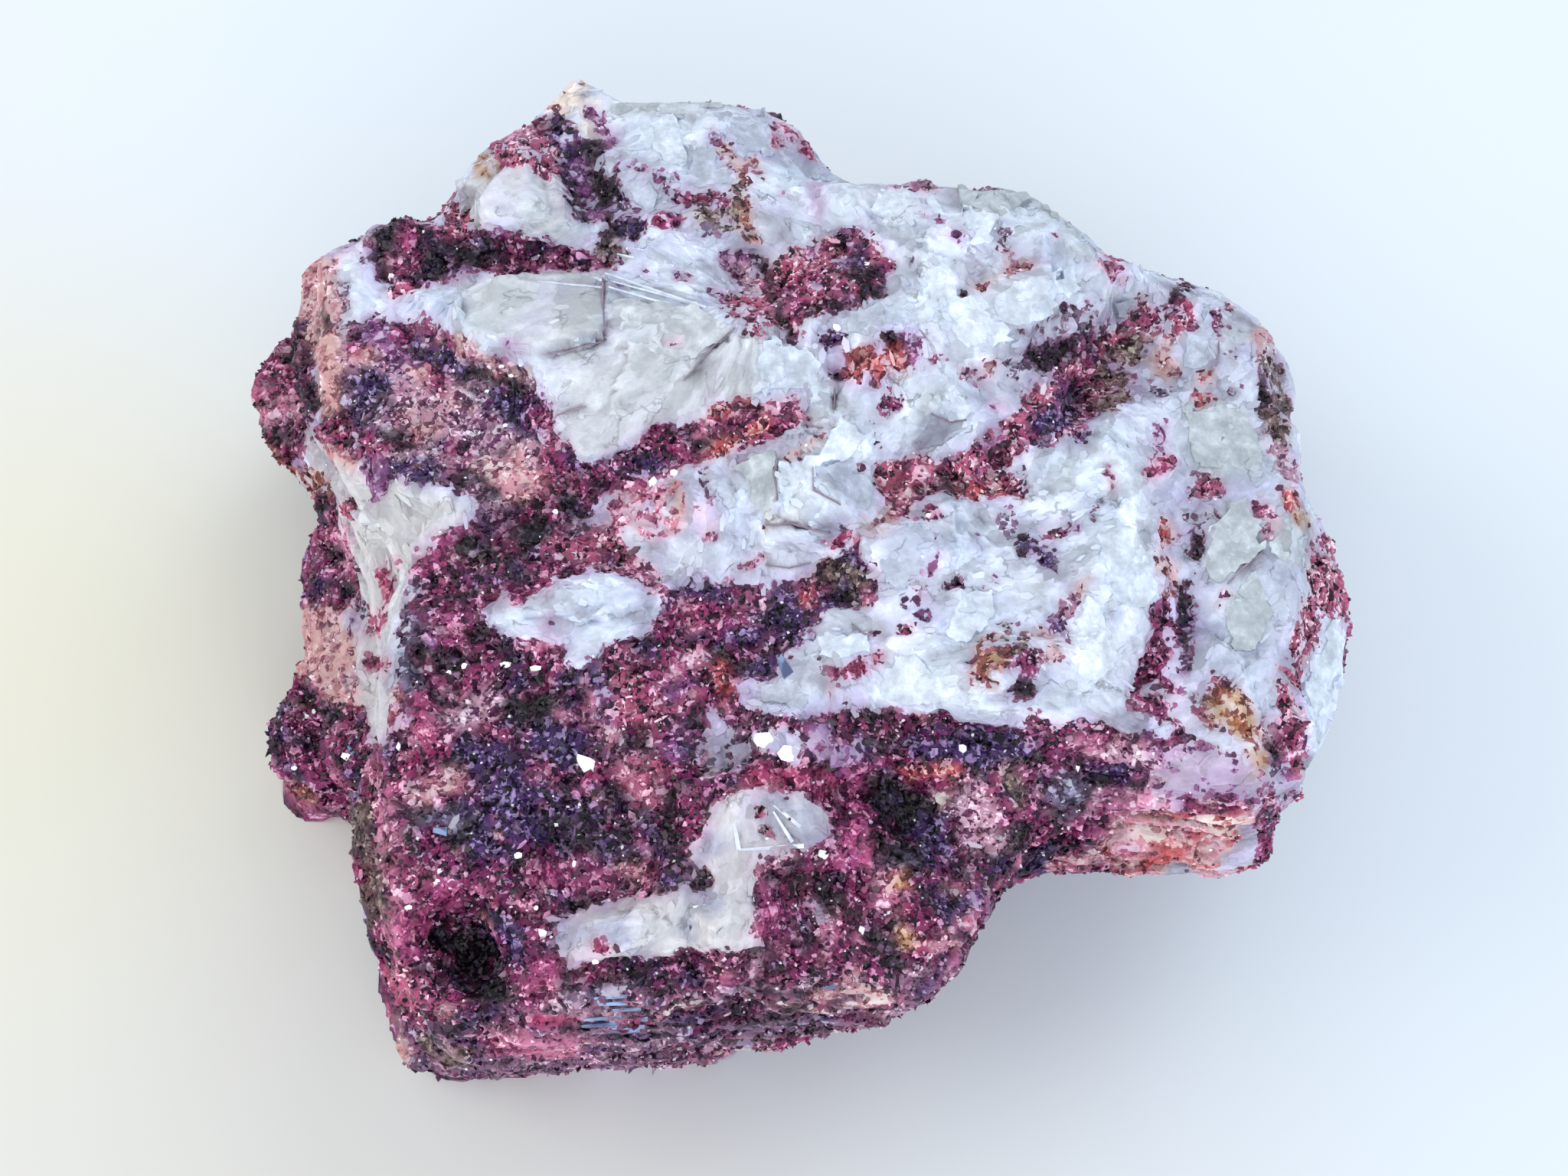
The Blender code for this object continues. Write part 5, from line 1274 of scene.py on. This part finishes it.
body_light = mapped(tree, lath_cell[0], 0.1, 0.9, *LATH_LIGHT)
pane_share = mapped(tree, attribute(tree, "bladed", "Fac"), 0.1, 0.8, 0.75, 1.0)
pane_tip = (0.0, 0.0, 0.0)
pane_warp = vectors(tree, "SCALE", warp, scale=PANE_WARP)
blade_place = vectors(tree, "ADD", blade_place, second=pane_warp)
island_place = vectors(tree, "MULTIPLY", blade_place, second=ISLAND_CELLS)
body_light = island_light(tree, island_place, 1.0, ISLAND_STEP, body_light)
seams_gone = mapped(tree, clouds(tree, place_mm, SEAM_CLOUD, 2.0), *SEAMS_GONE)
for cells, darkest, lightest, crack_and_shadow, tip in PANES:
    pane_place = vectors(tree, "MULTIPLY", blade_place, second=cells)
    pane_colour, pane_cell = cells_of(tree, pane_place, 1.0)
    pane_light = mapped(tree, pane_cell[0], 0.0, 1.0, darkest, lightest)
    if crack_and_shadow:
        border = node(tree, "ShaderNodeTexVoronoi", {"Vector": pane_place, "Scale": 1.0},
                      feature="DISTANCE_TO_EDGE").outputs["Distance"]
        seam_light = mapped(tree, border, crack_and_shadow * 0.4, crack_and_shadow, SEAM_SHADE, 1.0)
        pane_light = maths(tree, "MULTIPLY", pane_light, mix_numbers(tree, seam_light, 1.0, seams_gone))
    body_light = maths(tree, "MULTIPLY", body_light, mix_numbers(tree, 1.0, pane_light, pane_share))
    pane_tip = vectors(tree, "ADD", off_middle(tree, pane_colour, tip * 2), second=pane_tip)
body_light = maths(tree, "MULTIPLY", body_light, mapped(tree, attribute(tree, "level", "Fac"), *LEVEL_RANGE))
body_shade = vectors(tree, "SCALE", attribute(tree, "body", "Color"), scale=body_light)
hazy = mapped(tree, clouds(tree, place_mm, HAZE_CLOUD, 3.0), *HAZE_RANGE)
body_shade = mix_colours(tree, body_shade, vectors(tree, "MULTIPLY", body_shade, second=HAZE), hazy)
hollow_share = attribute(tree, "hollow", "Fac")
# Paints dirt and shade into the hollows, then darker hollows and lighter ridges on mica and feldspar.
body_shade = mix_colours(tree, body_shade, DIRT_AND_HOLLOW_SHADE, mapped(tree, hollow_share, *DIRT_AND_HOLLOW_SHADE_RANGE))
painted_relief_shading = mix_numbers(tree, mapped(tree, hollow_share, *BODY_PAINTED_RELIEF_SHADING),
                           mapped(tree, hollow_share, *MICA_PAINTED_RELIEF_SHADING), is_mica)
shade = vectors(tree, "SCALE", mix_colours(tree, body_shade, mica_shade, is_mica), scale=painted_relief_shading)

mica_tip = off_middle(tree, fine_colour, maths(tree, "MULTIPLY", is_mica, MICA_TIP))
body_tip = vectors(tree, "ADD", off_middle(tree, lath_colour, LATH_TIP), second=pane_tip)
body_tip = vectors(tree, "SCALE", body_tip, scale=maths(tree, "SUBTRACT", 1.0, is_mica))
stone_way = node(tree, "ShaderNodeNewGeometry").outputs["Normal"]
stone_way = vectors(tree, "ADD", vectors(tree, "ADD", stone_way, second=mica_tip), second=body_tip)
fill(tree, shader, {"Base Color": shade, "Specular IOR Level": STONE_GLOSS,
                    "Roughness": mapped(tree, is_mica, 0.0, 1.0, BODY_ROUGHNESS, MICA_ROUGHNESS),
                    "Normal": vectors(tree, "NORMALIZE", stone_way)})
skin_mesh.materials.clear()
skin_mesh.materials.append(stone)

skin = new_object("stone_skin", skin_mesh)
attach(skin, "root")
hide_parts("lepidolite")


# Mica grains: small stout crystals of purple and pink mica that stand out of the broken surface.
# They grew in the rock, and the grains around hold each.
# A set is: how many in a square millimetre, radius and thickness in mm, spread of lie, seed.
GRAIN_SET = (2.8, 0.25, 0.17, 1.2, 3)
GRAIN_SIZES = ((0.4, 0.4, 0.5), (1.3, 1.1, 1.5))
GRAIN_SHAPE = {"Segments": 4, "Rings": 2, "Radius": 1.0}
HEADING_SPREAD = 0.3
LOOSE_ROUGHNESS = 0.2
LOOSE_GLOSS = 0.3


def new_tree(name, inputs):
    """An empty Geometry Nodes tree with its inputs named, and a place for the result."""
    tree = bpy.data.node_groups.new(name, "GeometryNodeTree")
    tree.interface.new_socket("Geometry", in_out="INPUT", socket_type="NodeSocketGeometry")
    for title, kind_of in inputs:
        tree.interface.new_socket(title, in_out="INPUT", socket_type="NodeSocket" + kind_of)
    tree.interface.new_socket("Geometry", in_out="OUTPUT", socket_type="NodeSocketGeometry")
    return tree, node(tree, "NodeGroupInput").outputs


def random_vector(tree, low, high, seed):
    made = node(tree, "FunctionNodeRandomValue", {0: low, 1: high, "Seed": seed}, data_type="FLOAT_VECTOR")
    return made.outputs[0]


def random_number(tree, low, high, seed):
    made = node(tree, "FunctionNodeRandomValue", {2: low, 3: high, "Seed": seed}, data_type="FLOAT")
    return made.outputs[1]


def named(tree, name, kind_of):
    return node(tree, "GeometryNodeInputNamedAttribute", {"Name": name}, data_type=kind_of).outputs[0]


def scatter_tree(name, crowd_attribute, way_attribute, shape_kind, shape_inputs, sizes, heading=None):
    """A tree that strews copies of one shape over the skin, as thickly as one attribute says and
    with their Z along another, give or take a spread."""
    tree, given = new_tree(name, [("Crowd", "Float"), ("Radius", "Float"), ("Thickness", "Float"),
                                  ("Spread", "Float"), ("Seed", "Int"), ("Material", "Material")])
    crowd = maths(tree, "MULTIPLY", named(tree, crowd_attribute, "FLOAT"), given["Crowd"])
    spots = node(tree, "GeometryNodeDistributePointsOnFaces",
                 {"Mesh": given["Geometry"], "Density": crowd, "Seed": given["Seed"]})
    chanced = node(tree, "GeometryNodeStoreNamedAttribute",
                   {"Geometry": spots.outputs["Points"], "Name": "chance",
                    "Value": random_number(tree, 0.0, 1.0, 21)}, data_type="FLOAT", domain="POINT")
    shape = node(tree, shape_kind, shape_inputs).outputs["Mesh"]
    off = vectors(tree, "SCALE", random_vector(tree, (-1.0,) * 3, (1.0,) * 3, 22), scale=given["Spread"])
    aim = vectors(tree, "ADD", named(tree, way_attribute, "FLOAT_VECTOR"), second=off)
    turn = node(tree, "FunctionNodeAlignRotationToVector", {"Vector": aim}, axis="Z").outputs[0]
    most = math.pi
    if heading:
        most = HEADING_SPREAD
        turn = node(tree, "FunctionNodeAlignRotationToVector",
                    {"Rotation": turn, "Vector": named(tree, heading, "FLOAT_VECTOR")},
                    axis="X", pivot_axis="Z").outputs[0]
    spin = node(tree, "FunctionNodeAxisAngleToRotation",
                {"Axis": (0, 0, 1), "Angle": random_number(tree, -most, most, 23)}).outputs[0]
    turn = node(tree, "FunctionNodeRotateRotation", {"Rotation": turn, "Rotate By": spin},
                rotation_space="LOCAL").outputs[0]
    size = node(tree, "ShaderNodeCombineXYZ", {0: given["Radius"], 1: given["Radius"], 2: given["Thickness"]})
    size = vectors(tree, "MULTIPLY", size.outputs[0], second=random_vector(tree, *sizes, 24))
    placed = node(tree, "GeometryNodeInstanceOnPoints",
                  {"Points": chanced.outputs[0], "Instance": shape, "Rotation": turn, "Scale": size})
    real = node(tree, "GeometryNodeRealizeInstances", {"Geometry": placed.outputs[0]})
    flat = node(tree, "GeometryNodeSetShadeSmooth", {"Geometry": real.outputs[0], "Shade Smooth": False})
    done = node(tree, "GeometryNodeSetMaterial", {"Geometry": flat.outputs[0], "Material": given["Material"]})
    node(tree, "NodeGroupOutput", {0: done.outputs[0]})
    return tree


def scattered(name, tree, numbers, material):
    """What a tree grows on the skin, as an object with a plain mesh of its own."""
    crowd, radius, thickness, spread, seed = numbers
    holder = new_object("growing", skin_mesh)
    growth = holder.modifiers.new("growth", "NODES")
    growth.node_group = tree
    sockets = {item.name: item.identifier for item in tree.interface.items_tree if item.in_out == "INPUT"}
    for title, value in (("Crowd", crowd / MM ** 2), ("Radius", radius * MM), ("Thickness", thickness * MM),
                         ("Spread", spread), ("Seed", seed), ("Material", material)):
        growth[sockets[title]] = value
    mesh = evaluated(holder)
    mesh.name = name
    return new_object(name, mesh)


flake_finish, tree, shader = new_material("mica_flake")
flake_shade = pick_shades(tree, attribute(tree, "chance", "Fac"), spread=0.02, deep_share=0.34)
cloud = clouds(tree, object_place(tree), 3.5 / MM, 2.0)
flake_shade = vectors(tree, "SCALE", flake_shade, scale=mapped(tree, cloud, 0.32, 0.68, 0.62, 1.38))
fill(tree, shader, {"Base Color": flake_shade, "Roughness": LOOSE_ROUGHNESS, "Specular IOR Level": LOOSE_GLOSS})

grain_tree = scatter_tree("mica_grain_growth", "flakes", "lie", "GeometryNodeMeshUVSphere", GRAIN_SHAPE,
                          GRAIN_SIZES)
grains = scattered("mica_grains", grain_tree, GRAIN_SET, flake_finish)
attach(grains, "root")


# Mica flakes: thin plates of the same mica that lie with its beds and catch the light. They grew
# in the rock like the grains, a little larger and flatter, and have the grains' finish.
FLAKE_SET = (1.0, 0.34, 0.10, 0.45, 8)
FLAKE_SIZES = ((0.5, 0.25, 0.7), (1.7, 0.85, 1.5))
FLAKE_SHAPE = {"Vertices": 5, "Radius": 1.0, "Depth": 1.0}

flake_tree = scatter_tree("mica_flake_growth", "flakes", "lie", "GeometryNodeMeshCylinder", FLAKE_SHAPE,
                          FLAKE_SIZES)
flakes = scattered("mica_flakes", flake_tree, FLAKE_SET, flake_finish)
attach(flakes, "root")


# Mica glints: the few small grains of mica that lie any way, with a painted highlight: their colour
# is nearly white whichever way they face. They are held in the rock like the other grains.
GLINT_SET = (0.34, 0.15, 0.11, 1.6, 15)
GLINT_PAINTED_WHITE = (0.93, 0.95, 1.0, 1.0)
GLINT_ROUGHNESS = 0.15

glint_finish, tree, shader = new_material("mica_glint")
# The grains' colour goes most of the way to white: a painted highlight.
glint_share = mapped(tree, attribute(tree, "chance", "Fac"), 0.2, 0.8, 0.3, 1.0)
painted_glint_shade = mix_colours(tree, attribute(tree, "pale", "Color"), GLINT_PAINTED_WHITE, glint_share)
fill(tree, shader, {"Base Color": painted_glint_shade, "Roughness": GLINT_ROUGHNESS})

glints = scattered("mica_glints", grain_tree, GLINT_SET, glint_finish)
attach(glints, "root")


# Feldspar shards: small angular cleavage chips of white feldspar that lie on the plates and along
# their edges. They split off along the cleavage but are still grown fast beneath.
SHARD_SET = (0.35, 0.42, 0.09, 0.10, 5)
SHARD_SIZES = ((0.5, 0.3, 0.7), (1.9, 0.75, 1.5))
SHARD_SHAPE = {"Vertices": 5, "Radius": 1.0, "Depth": 1.0}
SHARD_ROUGHNESS = 0.42

shard_finish, tree, shader = new_material("feldspar_shard")
shard_light = mapped(tree, attribute(tree, "chance", "Fac"), 0.0, 1.0, 0.76, 1.04)
veil = clouds(tree, object_place(tree), 0.9 / MM, 3.0)
shard_light = maths(tree, "MULTIPLY", shard_light, mapped(tree, veil, 0.3, 0.7, 0.90, 1.06))
shard_shade = vectors(tree, "SCALE", attribute(tree, "body", "Color"), scale=shard_light)
fill(tree, shader, {"Base Color": shard_shade, "Roughness": SHARD_ROUGHNESS})

shard_tree = scatter_tree("shard_growth", "blades", "calm_way", "GeometryNodeMeshCylinder", SHARD_SHAPE,
                          SHARD_SIZES, heading="heading")
shards = scattered("feldspar_shards", shard_tree, SHARD_SET, shard_finish)
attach(shards, "root")


# White laths: long slim blades of feldspar that stand a little proud where the plates fan out, and
# the ridges of the angled blade in the block. Each grew with the plate under it.
# Where each starts and ends and how wide it is, in pixels of the photograph.
LATHS = [
    (790, 357, 922, 402, 4), (792, 366, 911, 397, 3.5), (795, 375, 894, 404, 3.5),
    (706, 358, 788, 366, 3.5), (702, 368, 786, 376, 3), (806, 332, 880, 348, 3.5),
    (832, 325, 908, 343, 3.5), (845, 308, 922, 326, 3.5), (800, 350, 860, 368, 3),
    (955, 1050, 965, 1110, 6), (985, 1030, 1045, 1080, 5), (965, 1110, 1050, 1105, 6),
    (905, 1185, 985, 1175, 6), (1010, 1060, 1035, 1100, 5),
]
LATH_THICKNESS = 0.22
LATH_LIFT = 0.07
LATH_DARK = (0.54, 0.60, 0.72, 1.0)
LATH_PALE = (0.80, 0.86, 0.95, 1.0)
LATH_ROUGHNESS = 0.38

skin_final = surface_tree(skin_mesh)
camera_right = Vector((1.0, 0.0, 0.0))


def sight_way(u, v):
    """The way from the eye through a pixel."""
    aside, below = (u - PHOTO_SIZE[0] / 2) * PER_PIXEL, (v - PHOTO_SIZE[1] / 2) * PER_PIXEL
    return (camera_right * aside - camera_up * below - camera_back).normalized()


def on_skin(u, v):
    """Where the line of sight through a pixel meets the skin, how the skin faces there, and how wide
    a pixel is there."""
    spot, normal, _, distance = skin_final.ray_cast(eye, sight_way(u, v))
    return spot, normal, distance * PER_PIXEL


def add_prism(body, outline, thickness_way):
    """Adds a closed plate: an outline, and the same outline again, further along."""
    lower = [body.verts.new(point) for point in outline]
    upper = [body.verts.new(point + thickness_way) for point in outline]
    body.faces.new(lower[::-1])
    body.faces.new(upper)
    for k in range(len(lower)):
        body.faces.new((lower[k], lower[(k + 1) % len(lower)], upper[(k + 1) % len(lower)], upper[k]))


def finish_piece(name, body, material):
    """Makes an object of a body that was built up, and gives it its material."""
    bmesh.ops.recalc_face_normals(body, faces=body.faces)
    mesh = bpy.data.meshes.new(name)
    body.to_mesh(mesh)
    body.free()
    mesh.materials.append(material)
    return new_object(name, mesh)


def add_lath(body, lath):
    """Adds a slim blade from one seen spot to another, narrower at both ends on one side."""
    u0, v0, u1, v1, width = lath
    start, first_way, pixel_size = on_skin(u0, v0)
    end, second_way, _ = on_skin(u1, v1)
    way = (first_way + second_way + camera_back).normalized()
    side = (end - start).cross(way).normalized() * (width * pixel_size / 2)
    sink = way * ((LATH_LIFT - LATH_THICKNESS) * MM)
    outline = [start - side * 0.5, end - side, end + side, start + side * 0.5]
    add_prism(body, [point + sink for point in outline], way * (LATH_THICKNESS * MM))


lath_finish, tree, shader = new_material("feldspar_lath")
veil = mapped(tree, clouds(tree, object_place(tree), 1.4 / MM, 3.0), 0.35, 0.65)
fill(tree, shader, {"Base Color": mix_colours(tree, LATH_DARK, LATH_PALE, veil), "Roughness": LATH_ROUGHNESS})
laths_body = bmesh.new()
for lath in LATHS:
    add_lath(laths_body, lath)
laths = finish_piece("feldspar_laths", laths_body, lath_finish)
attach(laths, "root")


# Cleavage sheets: thin flat leaves of feldspar left standing where the layers over them split away,
# each with a ragged edge and a shade of its own, and dark films along the cracks between them,
# partly dark crack filling and partly painted shadow under the step edges. All are still grown fast
# to the feldspar beneath.
# In pixels: the spacing of a sheet's inner points, the steps along its rim, how far the rim strays,
# how long its waves are, and the area of the smallest sheet.
SHEET_GRID = 9.0
SHEET_EDGE_STEP = 4.0
SHEET_RAGGED = 7.0
RAGGED_WAVE = 13.0
LEAST_SHEET = 1500.0
SHEET_SHADE = 0.90
# The films' colour: partly dark filling, partly painted shadow.
FILM_AND_SHADOW_SHADE = (144, 129, 146)
# In mm: how far a sheet reaches into the skin, how far the lowest and the highest stand out, how far
# films do, how far a point is flattened at most, down and up, and the longest side of a triangle.
SHEET_THICKNESS = 0.34
SHEET_LIFTS = (0.05, 0.14)
FILM_LIFT = 0.19
SHEET_LEVELLED = (-0.10, 0.25)
LONGEST_SIDE = 1.6
SHEET_FLATTENED = 0.55
MOST_MICA = 0.35
GOLDEN_STEP = 0.618
FILM_ENDS = 0.4
SHEET_ISLANDS = ((0.6, 0.09), (1.5, 0.06))
SHEET_CHIPS = 0.8
CHIP_LIGHT = (0.93, 1.05)
CHIP_TIP = 0.24
SHEET_ROUGHNESS = 0.46
SHEET_GLOSS = 0.3
# The dark films, partly crack filling and partly painted shadow under steps: half width and the points
# that each runs through, in pixels of the photograph.
DARK_FILMS_AND_SHADOWS = [
    (1.3, [(1000, 686), (1035, 684), (1060, 692), (1085, 698), (1105, 697), (1130, 694)]),
    (0.8, [(790, 366), (788, 400), (791, 438)]), (1.2, [(722, 545), (745, 536), (766, 531)]),
    (0.8, [(715, 461), (740, 458), (792, 442)]), (0.7, [(893, 498), (930, 455), (960, 428)]),
    (1.1, [(1085, 470), (1092, 500), (1090, 535)]), (1.4, [(1335, 438), (1362, 424), (1400, 402)]),
    (1.0, [(1016, 655), (1012, 620), (1020, 600)]), (1.0, [(1595, 772), (1620, 745), (1650, 720)]),
    (1.1, [(1112, 815), (1128, 829), (1158, 832)]),
    (1.4, [(985, 575), (1010, 560), (1050, 556), (1075, 560)]),
    (1.0, [(1000, 738), (1030, 742), (1060, 735)]), (1.0, [(1215, 540), (1240, 552), (1262, 548)]),
    (1.0, [(1590, 420), (1592, 460), (1585, 490)]), (1.2, [(1062, 612), (1062, 640), (1098, 660)]),
]


def ragged_outline(outline, reach, channel):
    """The outline in short steps, each point pushed a little to a side."""
    points = []
    for start, end in zip(outline, outline[1:] + outline[:1]):
        start, way = np.array(start, float), np.subtract(end, start)
        count = max(1, round(math.hypot(*way) / SHEET_EDGE_STEP))
        points += [start + way * k / count for k in range(count)]
    points = np.array(points)
    spots = np.concatenate([points / RAGGED_WAVE, np.full((len(points), 1), channel * 3.7)], axis=1)
    push = np.stack([rough_noise(spots, 301), rough_noise(spots, 305)], axis=1)
    return points + reach * push


def add_sheet(body, outline, inner, lift, shade, shade_layer):
    """Adds a thin closed sheet that lies on the skin inside an outline and leaves out the mica."""
    flat = [Vector(point) for point in np.concatenate([outline, inner])]
    rim = [(k, (k + 1) % len(outline)) for k in range(len(outline))]
    flat, _, triangles, *_ = delaunay_2d_cdt(flat, rim, [], 0, 1e-4)
    flat = np.array([point[:] for point in flat])
    spots, normals, on_mica = [], [], []
    for u, v in flat:
        spot, normal, face, _ = skin_final.ray_cast(eye, sight_way(u, v))
        spots.append(spot)
        normals.append(normal)
        on_mica.append(spot is None or max(mica_share[list(skin_mesh.polygons[face].vertices)]) > MOST_MICA)
    centres = flat[np.array(triangles)].mean(axis=1)
    kept = []
    for triangle, inside in zip(triangles, inside_outline(centres, [tuple(point) for point in outline])):
        if inside and not any(on_mica[k] for k in triangle):
            sides = [(spots[triangle[k]] - spots[triangle[k - 1]]).length for k in range(3)]
            if max(sides) < LONGEST_SIDE * MM:
                kept.append(triangle)
    if not kept:
        return
    used = sorted({k for triangle in kept for k in triangle})
    way = sum((normals[k] for k in used), Vector()).normalized()
    middle = sum((spots[k] for k in used), Vector()) / len(used)
    lowest, highest = SHEET_LEVELLED
    upper, lower = {}, {}
    for k in used:
        levelled = SHEET_FLATTENED * (middle - spots[k]).dot(way)
        levelled = max(min(levelled, highest * MM), lowest * MM)
        upper[k] = body.verts.new(spots[k] + way * (levelled + lift * MM))
        lower[k] = body.verts.new(spots[k] - way * (SHEET_THICKNESS * MM))
        for vertex in (upper[k], lower[k]):
            vertex[shade_layer] = (*shade, 1.0)
    borders = {}
    for a, b, c in kept:
        body.faces.new((upper[a], upper[b], upper[c]))
        body.faces.new((lower[c], lower[b], lower[a]))
        for first, second in ((a, b), (b, c), (c, a)):
            if (second, first) in borders:
                del borders[(second, first)]
            else:
                borders[(first, second)] = True
    for first, second in borders:
        body.faces.new((upper[second], upper[first], lower[first], lower[second]))


sheets_body = bmesh.new()
shade_layer = sheets_body.verts.layers.float_color.new("shade")
for index, (name, outline) in enumerate(BREAKS):
    u, v = np.array(outline, float).T
    if abs(u @ np.roll(v, 1) - v @ np.roll(u, 1)) / 2 < LEAST_SHEET:
        continue
    rim = ragged_outline(outline, SHEET_RAGGED, index)
    low, high = rim.min(axis=0), rim.max(axis=0)
    across, down = np.meshgrid(np.arange(low[0], high[0], SHEET_GRID), np.arange(low[1], high[1], SHEET_GRID))
    across, down = across.ravel(), down.ravel()
    grid = np.stack([across + SHEET_GRID / 2 * (down // SHEET_GRID % 2), down], axis=1)
    rim_list = [tuple(point) for point in rim]
    clear = distance_to_path(grid, rim_list + rim_list[:1]) > SHEET_GRID / 2
    lift = SHEET_LIFTS[0] + (SHEET_LIFTS[1] - SHEET_LIFTS[0]) * (index * GOLDEN_STEP % 1)
    # A sheet takes its break's tone, partly painted light and shade.
    shade = linear(KINDS[name][KIND_COLUMNS.index("body")]) * SHEET_SHADE
    add_sheet(sheets_body, rim, grid[inside_outline(grid, rim_list) & clear], lift, shade, shade_layer)
for index, (half_width, points) in enumerate(DARK_FILMS_AND_SHADOWS, len(BREAKS)):
    path = np.array(points, float)
    along = np.gradient(path, axis=0)
    side = np.stack([-along[:, 1], along[:, 0]], axis=1) / np.linalg.norm(along, axis=1)[:, None] * half_width
    side[[0, -1]] *= FILM_ENDS
    outline = [tuple(point) for point in np.concatenate([path + side, (path - side)[::-1]])]
    rim = ragged_outline(outline, half_width / 2, index)
    add_sheet(sheets_body, rim, np.zeros((0, 2)), FILM_LIFT, linear(FILM_AND_SHADOW_SHADE), shade_layer)

sheet_finish, tree, shader = new_material("feldspar_sheet")
place_mm = vectors(tree, "SCALE", object_place(tree), scale=1 / MM)
sheet_light = 1.0
for island_scale, island_step in SHEET_ISLANDS:
    sheet_light = island_light(tree, place_mm, island_scale, island_step, sheet_light)
chip_colour, chip_cell = cells_of(tree, place_mm, SHEET_CHIPS)
sheet_light = maths(tree, "MULTIPLY", sheet_light, mapped(tree, chip_cell[0], 0.0, 1.0, *CHIP_LIGHT))
sheet_shade = vectors(tree, "SCALE", attribute(tree, "shade", "Color"), scale=sheet_light)
sheet_way = vectors(tree, "ADD", node(tree, "ShaderNodeNewGeometry").outputs["Normal"],
                    second=off_middle(tree, chip_colour, CHIP_TIP))
fill(tree, shader, {"Base Color": sheet_shade, "Roughness": SHEET_ROUGHNESS,
                    "Specular IOR Level": SHEET_GLOSS, "Normal": vectors(tree, "NORMALIZE", sheet_way)})
sheets = finish_piece("feldspar_sheets", sheets_body, sheet_finish)
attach(sheets, "root")


# Flashing plates: single mica plates that lie so that they mirror the window. Here each faces half
# towards the eye, and its nearly white colour is a painted reflection. Where each is seen and its
# width and height, in pixels of the photograph.
FLASHES = [
    (512, 363, 9, 14), (765, 1000, 30, 38), (453, 988, 14, 12), (385, 1003, 10, 9), (400, 935, 10, 8),
    (410, 930, 7, 7), (520, 975, 6, 12), (607, 870, 9, 9), (587, 878, 8, 7), (636, 512, 7, 7),
    (660, 556, 8, 7), (725, 668, 9, 8), (853, 630, 13, 16), (880, 618, 11, 9), (1093, 428, 12, 12),
    (1132, 345, 9, 7), (1115, 368, 7, 5), (1213, 674, 8, 8), (1205, 727, 5, 5), (1075, 1115, 18, 14),
    (1022, 935, 9, 6), (1125, 1215, 10, 16), (700, 1185, 7, 7), (708, 1220, 14, 20), (676, 1117, 12, 11),
    (750, 1128, 6, 12), (575, 1138, 9, 8), (572, 1150, 7, 6), (533, 1185, 12, 8), (778, 1255, 12, 10),
    (1256, 978, 12, 12), (1407, 1003, 7, 10), (1395, 1080, 6, 10), (1270, 960, 5, 5), (655, 478, 8, 6),
    (668, 490, 9, 6), (680, 476, 6, 6), (1000, 968, 34, 26), (1032, 985, 36, 30), (660, 868, 16, 10),
    (700, 872, 18, 10),
]
FLASH_SIDES = 7
FLASH_THICKNESS = 0.14
FLASH_LIFT = 0.12
# Both ends of the flashes' colour are near white: a painted reflection.
FLASH_PAINTED_DIM = (0.80, 0.87, 0.98, 1.0)
FLASH_PAINTED_BRIGHT = (0.99, 0.99, 1.0, 1.0)
FLASH_ROUGHNESS = 0.25


def add_flash(body, index, flash):
    """Adds a small plate with uneven sides that faces half towards the eye."""
    u, v, width, height = flash
    spot, normal, pixel_size = on_skin(u, v)
    way = (normal * 0.6 + camera_back).normalized()
    across = camera_right - way * camera_right.dot(way)
    across.normalize()
    upward = way.cross(across)
    outline = []
    for k in range(FLASH_SIDES):
        chance = float(cell_random(np.array([index, k, 7]), 99))
        angle = (k + 0.6 * chance) * 2 * math.pi / FLASH_SIDES
        reach = (0.65 + 0.45 * chance) * pixel_size / 2
        corner = across * (reach * width * math.cos(angle)) + upward * (reach * height * math.sin(angle))
        outline.append(spot + corner)
    sink = way * ((FLASH_LIFT - FLASH_THICKNESS) * MM)
    add_prism(body, [point + sink for point in outline], way * (FLASH_THICKNESS * MM))


flash_finish, tree, shader = new_material("mica_flash")
veil = mapped(tree, clouds(tree, object_place(tree), 1.0 / MM, 2.0), 0.4, 0.6)
painted_flash_shade = mix_colours(tree, FLASH_PAINTED_DIM, FLASH_PAINTED_BRIGHT, veil)
fill(tree, shader, {"Base Color": painted_flash_shade, "Roughness": FLASH_ROUGHNESS})
flash_body = bmesh.new()
for index, flash in enumerate(FLASHES):
    add_flash(flash_body, index, flash)
flashes = finish_piece("mica_flashes", flash_body, flash_finish)
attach(flashes, "root")


# Blue plates: a few mica plates at the front edge, and some above, that shimmer pale blue because
# light is turned back between their thin leaves. Start, end and width in pixels of the photograph.
BLUE_PLATES = [
    (776, 1304, 846, 1299, 6), (782, 1312, 846, 1308, 7), (790, 1320, 838, 1317, 6),
    (762, 1332, 812, 1328, 6), (760, 1340, 806, 1337, 8), (796, 1334, 846, 1330, 7),
    (800, 1343, 842, 1340, 6), (774, 1349, 836, 1345, 6), (1018, 858, 1030, 882, 16),
    (566, 1084, 584, 1086, 12), (1075, 1290, 1092, 1288, 7), (455, 975, 462, 985, 6),
]
LEAF_PLACE = (0.5 / MM, 0.5 / MM, 3.0 / MM)
BLUE_DARK = (0.07, 0.09, 0.20, 1.0)
BLUE_PALE = (0.26, 0.38, 0.64, 1.0)
BLUE_ROUGHNESS = 0.25

blue_finish, tree, shader = new_material("mica_blue")
leaf_place = vectors(tree, "MULTIPLY", object_place(tree), second=LEAF_PLACE)
leaves = mapped(tree, clouds(tree, leaf_place, 1.0, 3.0), 0.40, 0.60)
fill(tree, shader, {"Base Color": mix_colours(tree, BLUE_DARK, BLUE_PALE, leaves), "Roughness": BLUE_ROUGHNESS})
blue_body = bmesh.new()
for plate in BLUE_PLATES:
    add_lath(blue_body, plate)
blue_plates = finish_piece("mica_blue_plates", blue_body, blue_finish)
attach(blue_plates, "root")


# Finds the box that the dressed stone fills.
low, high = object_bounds()
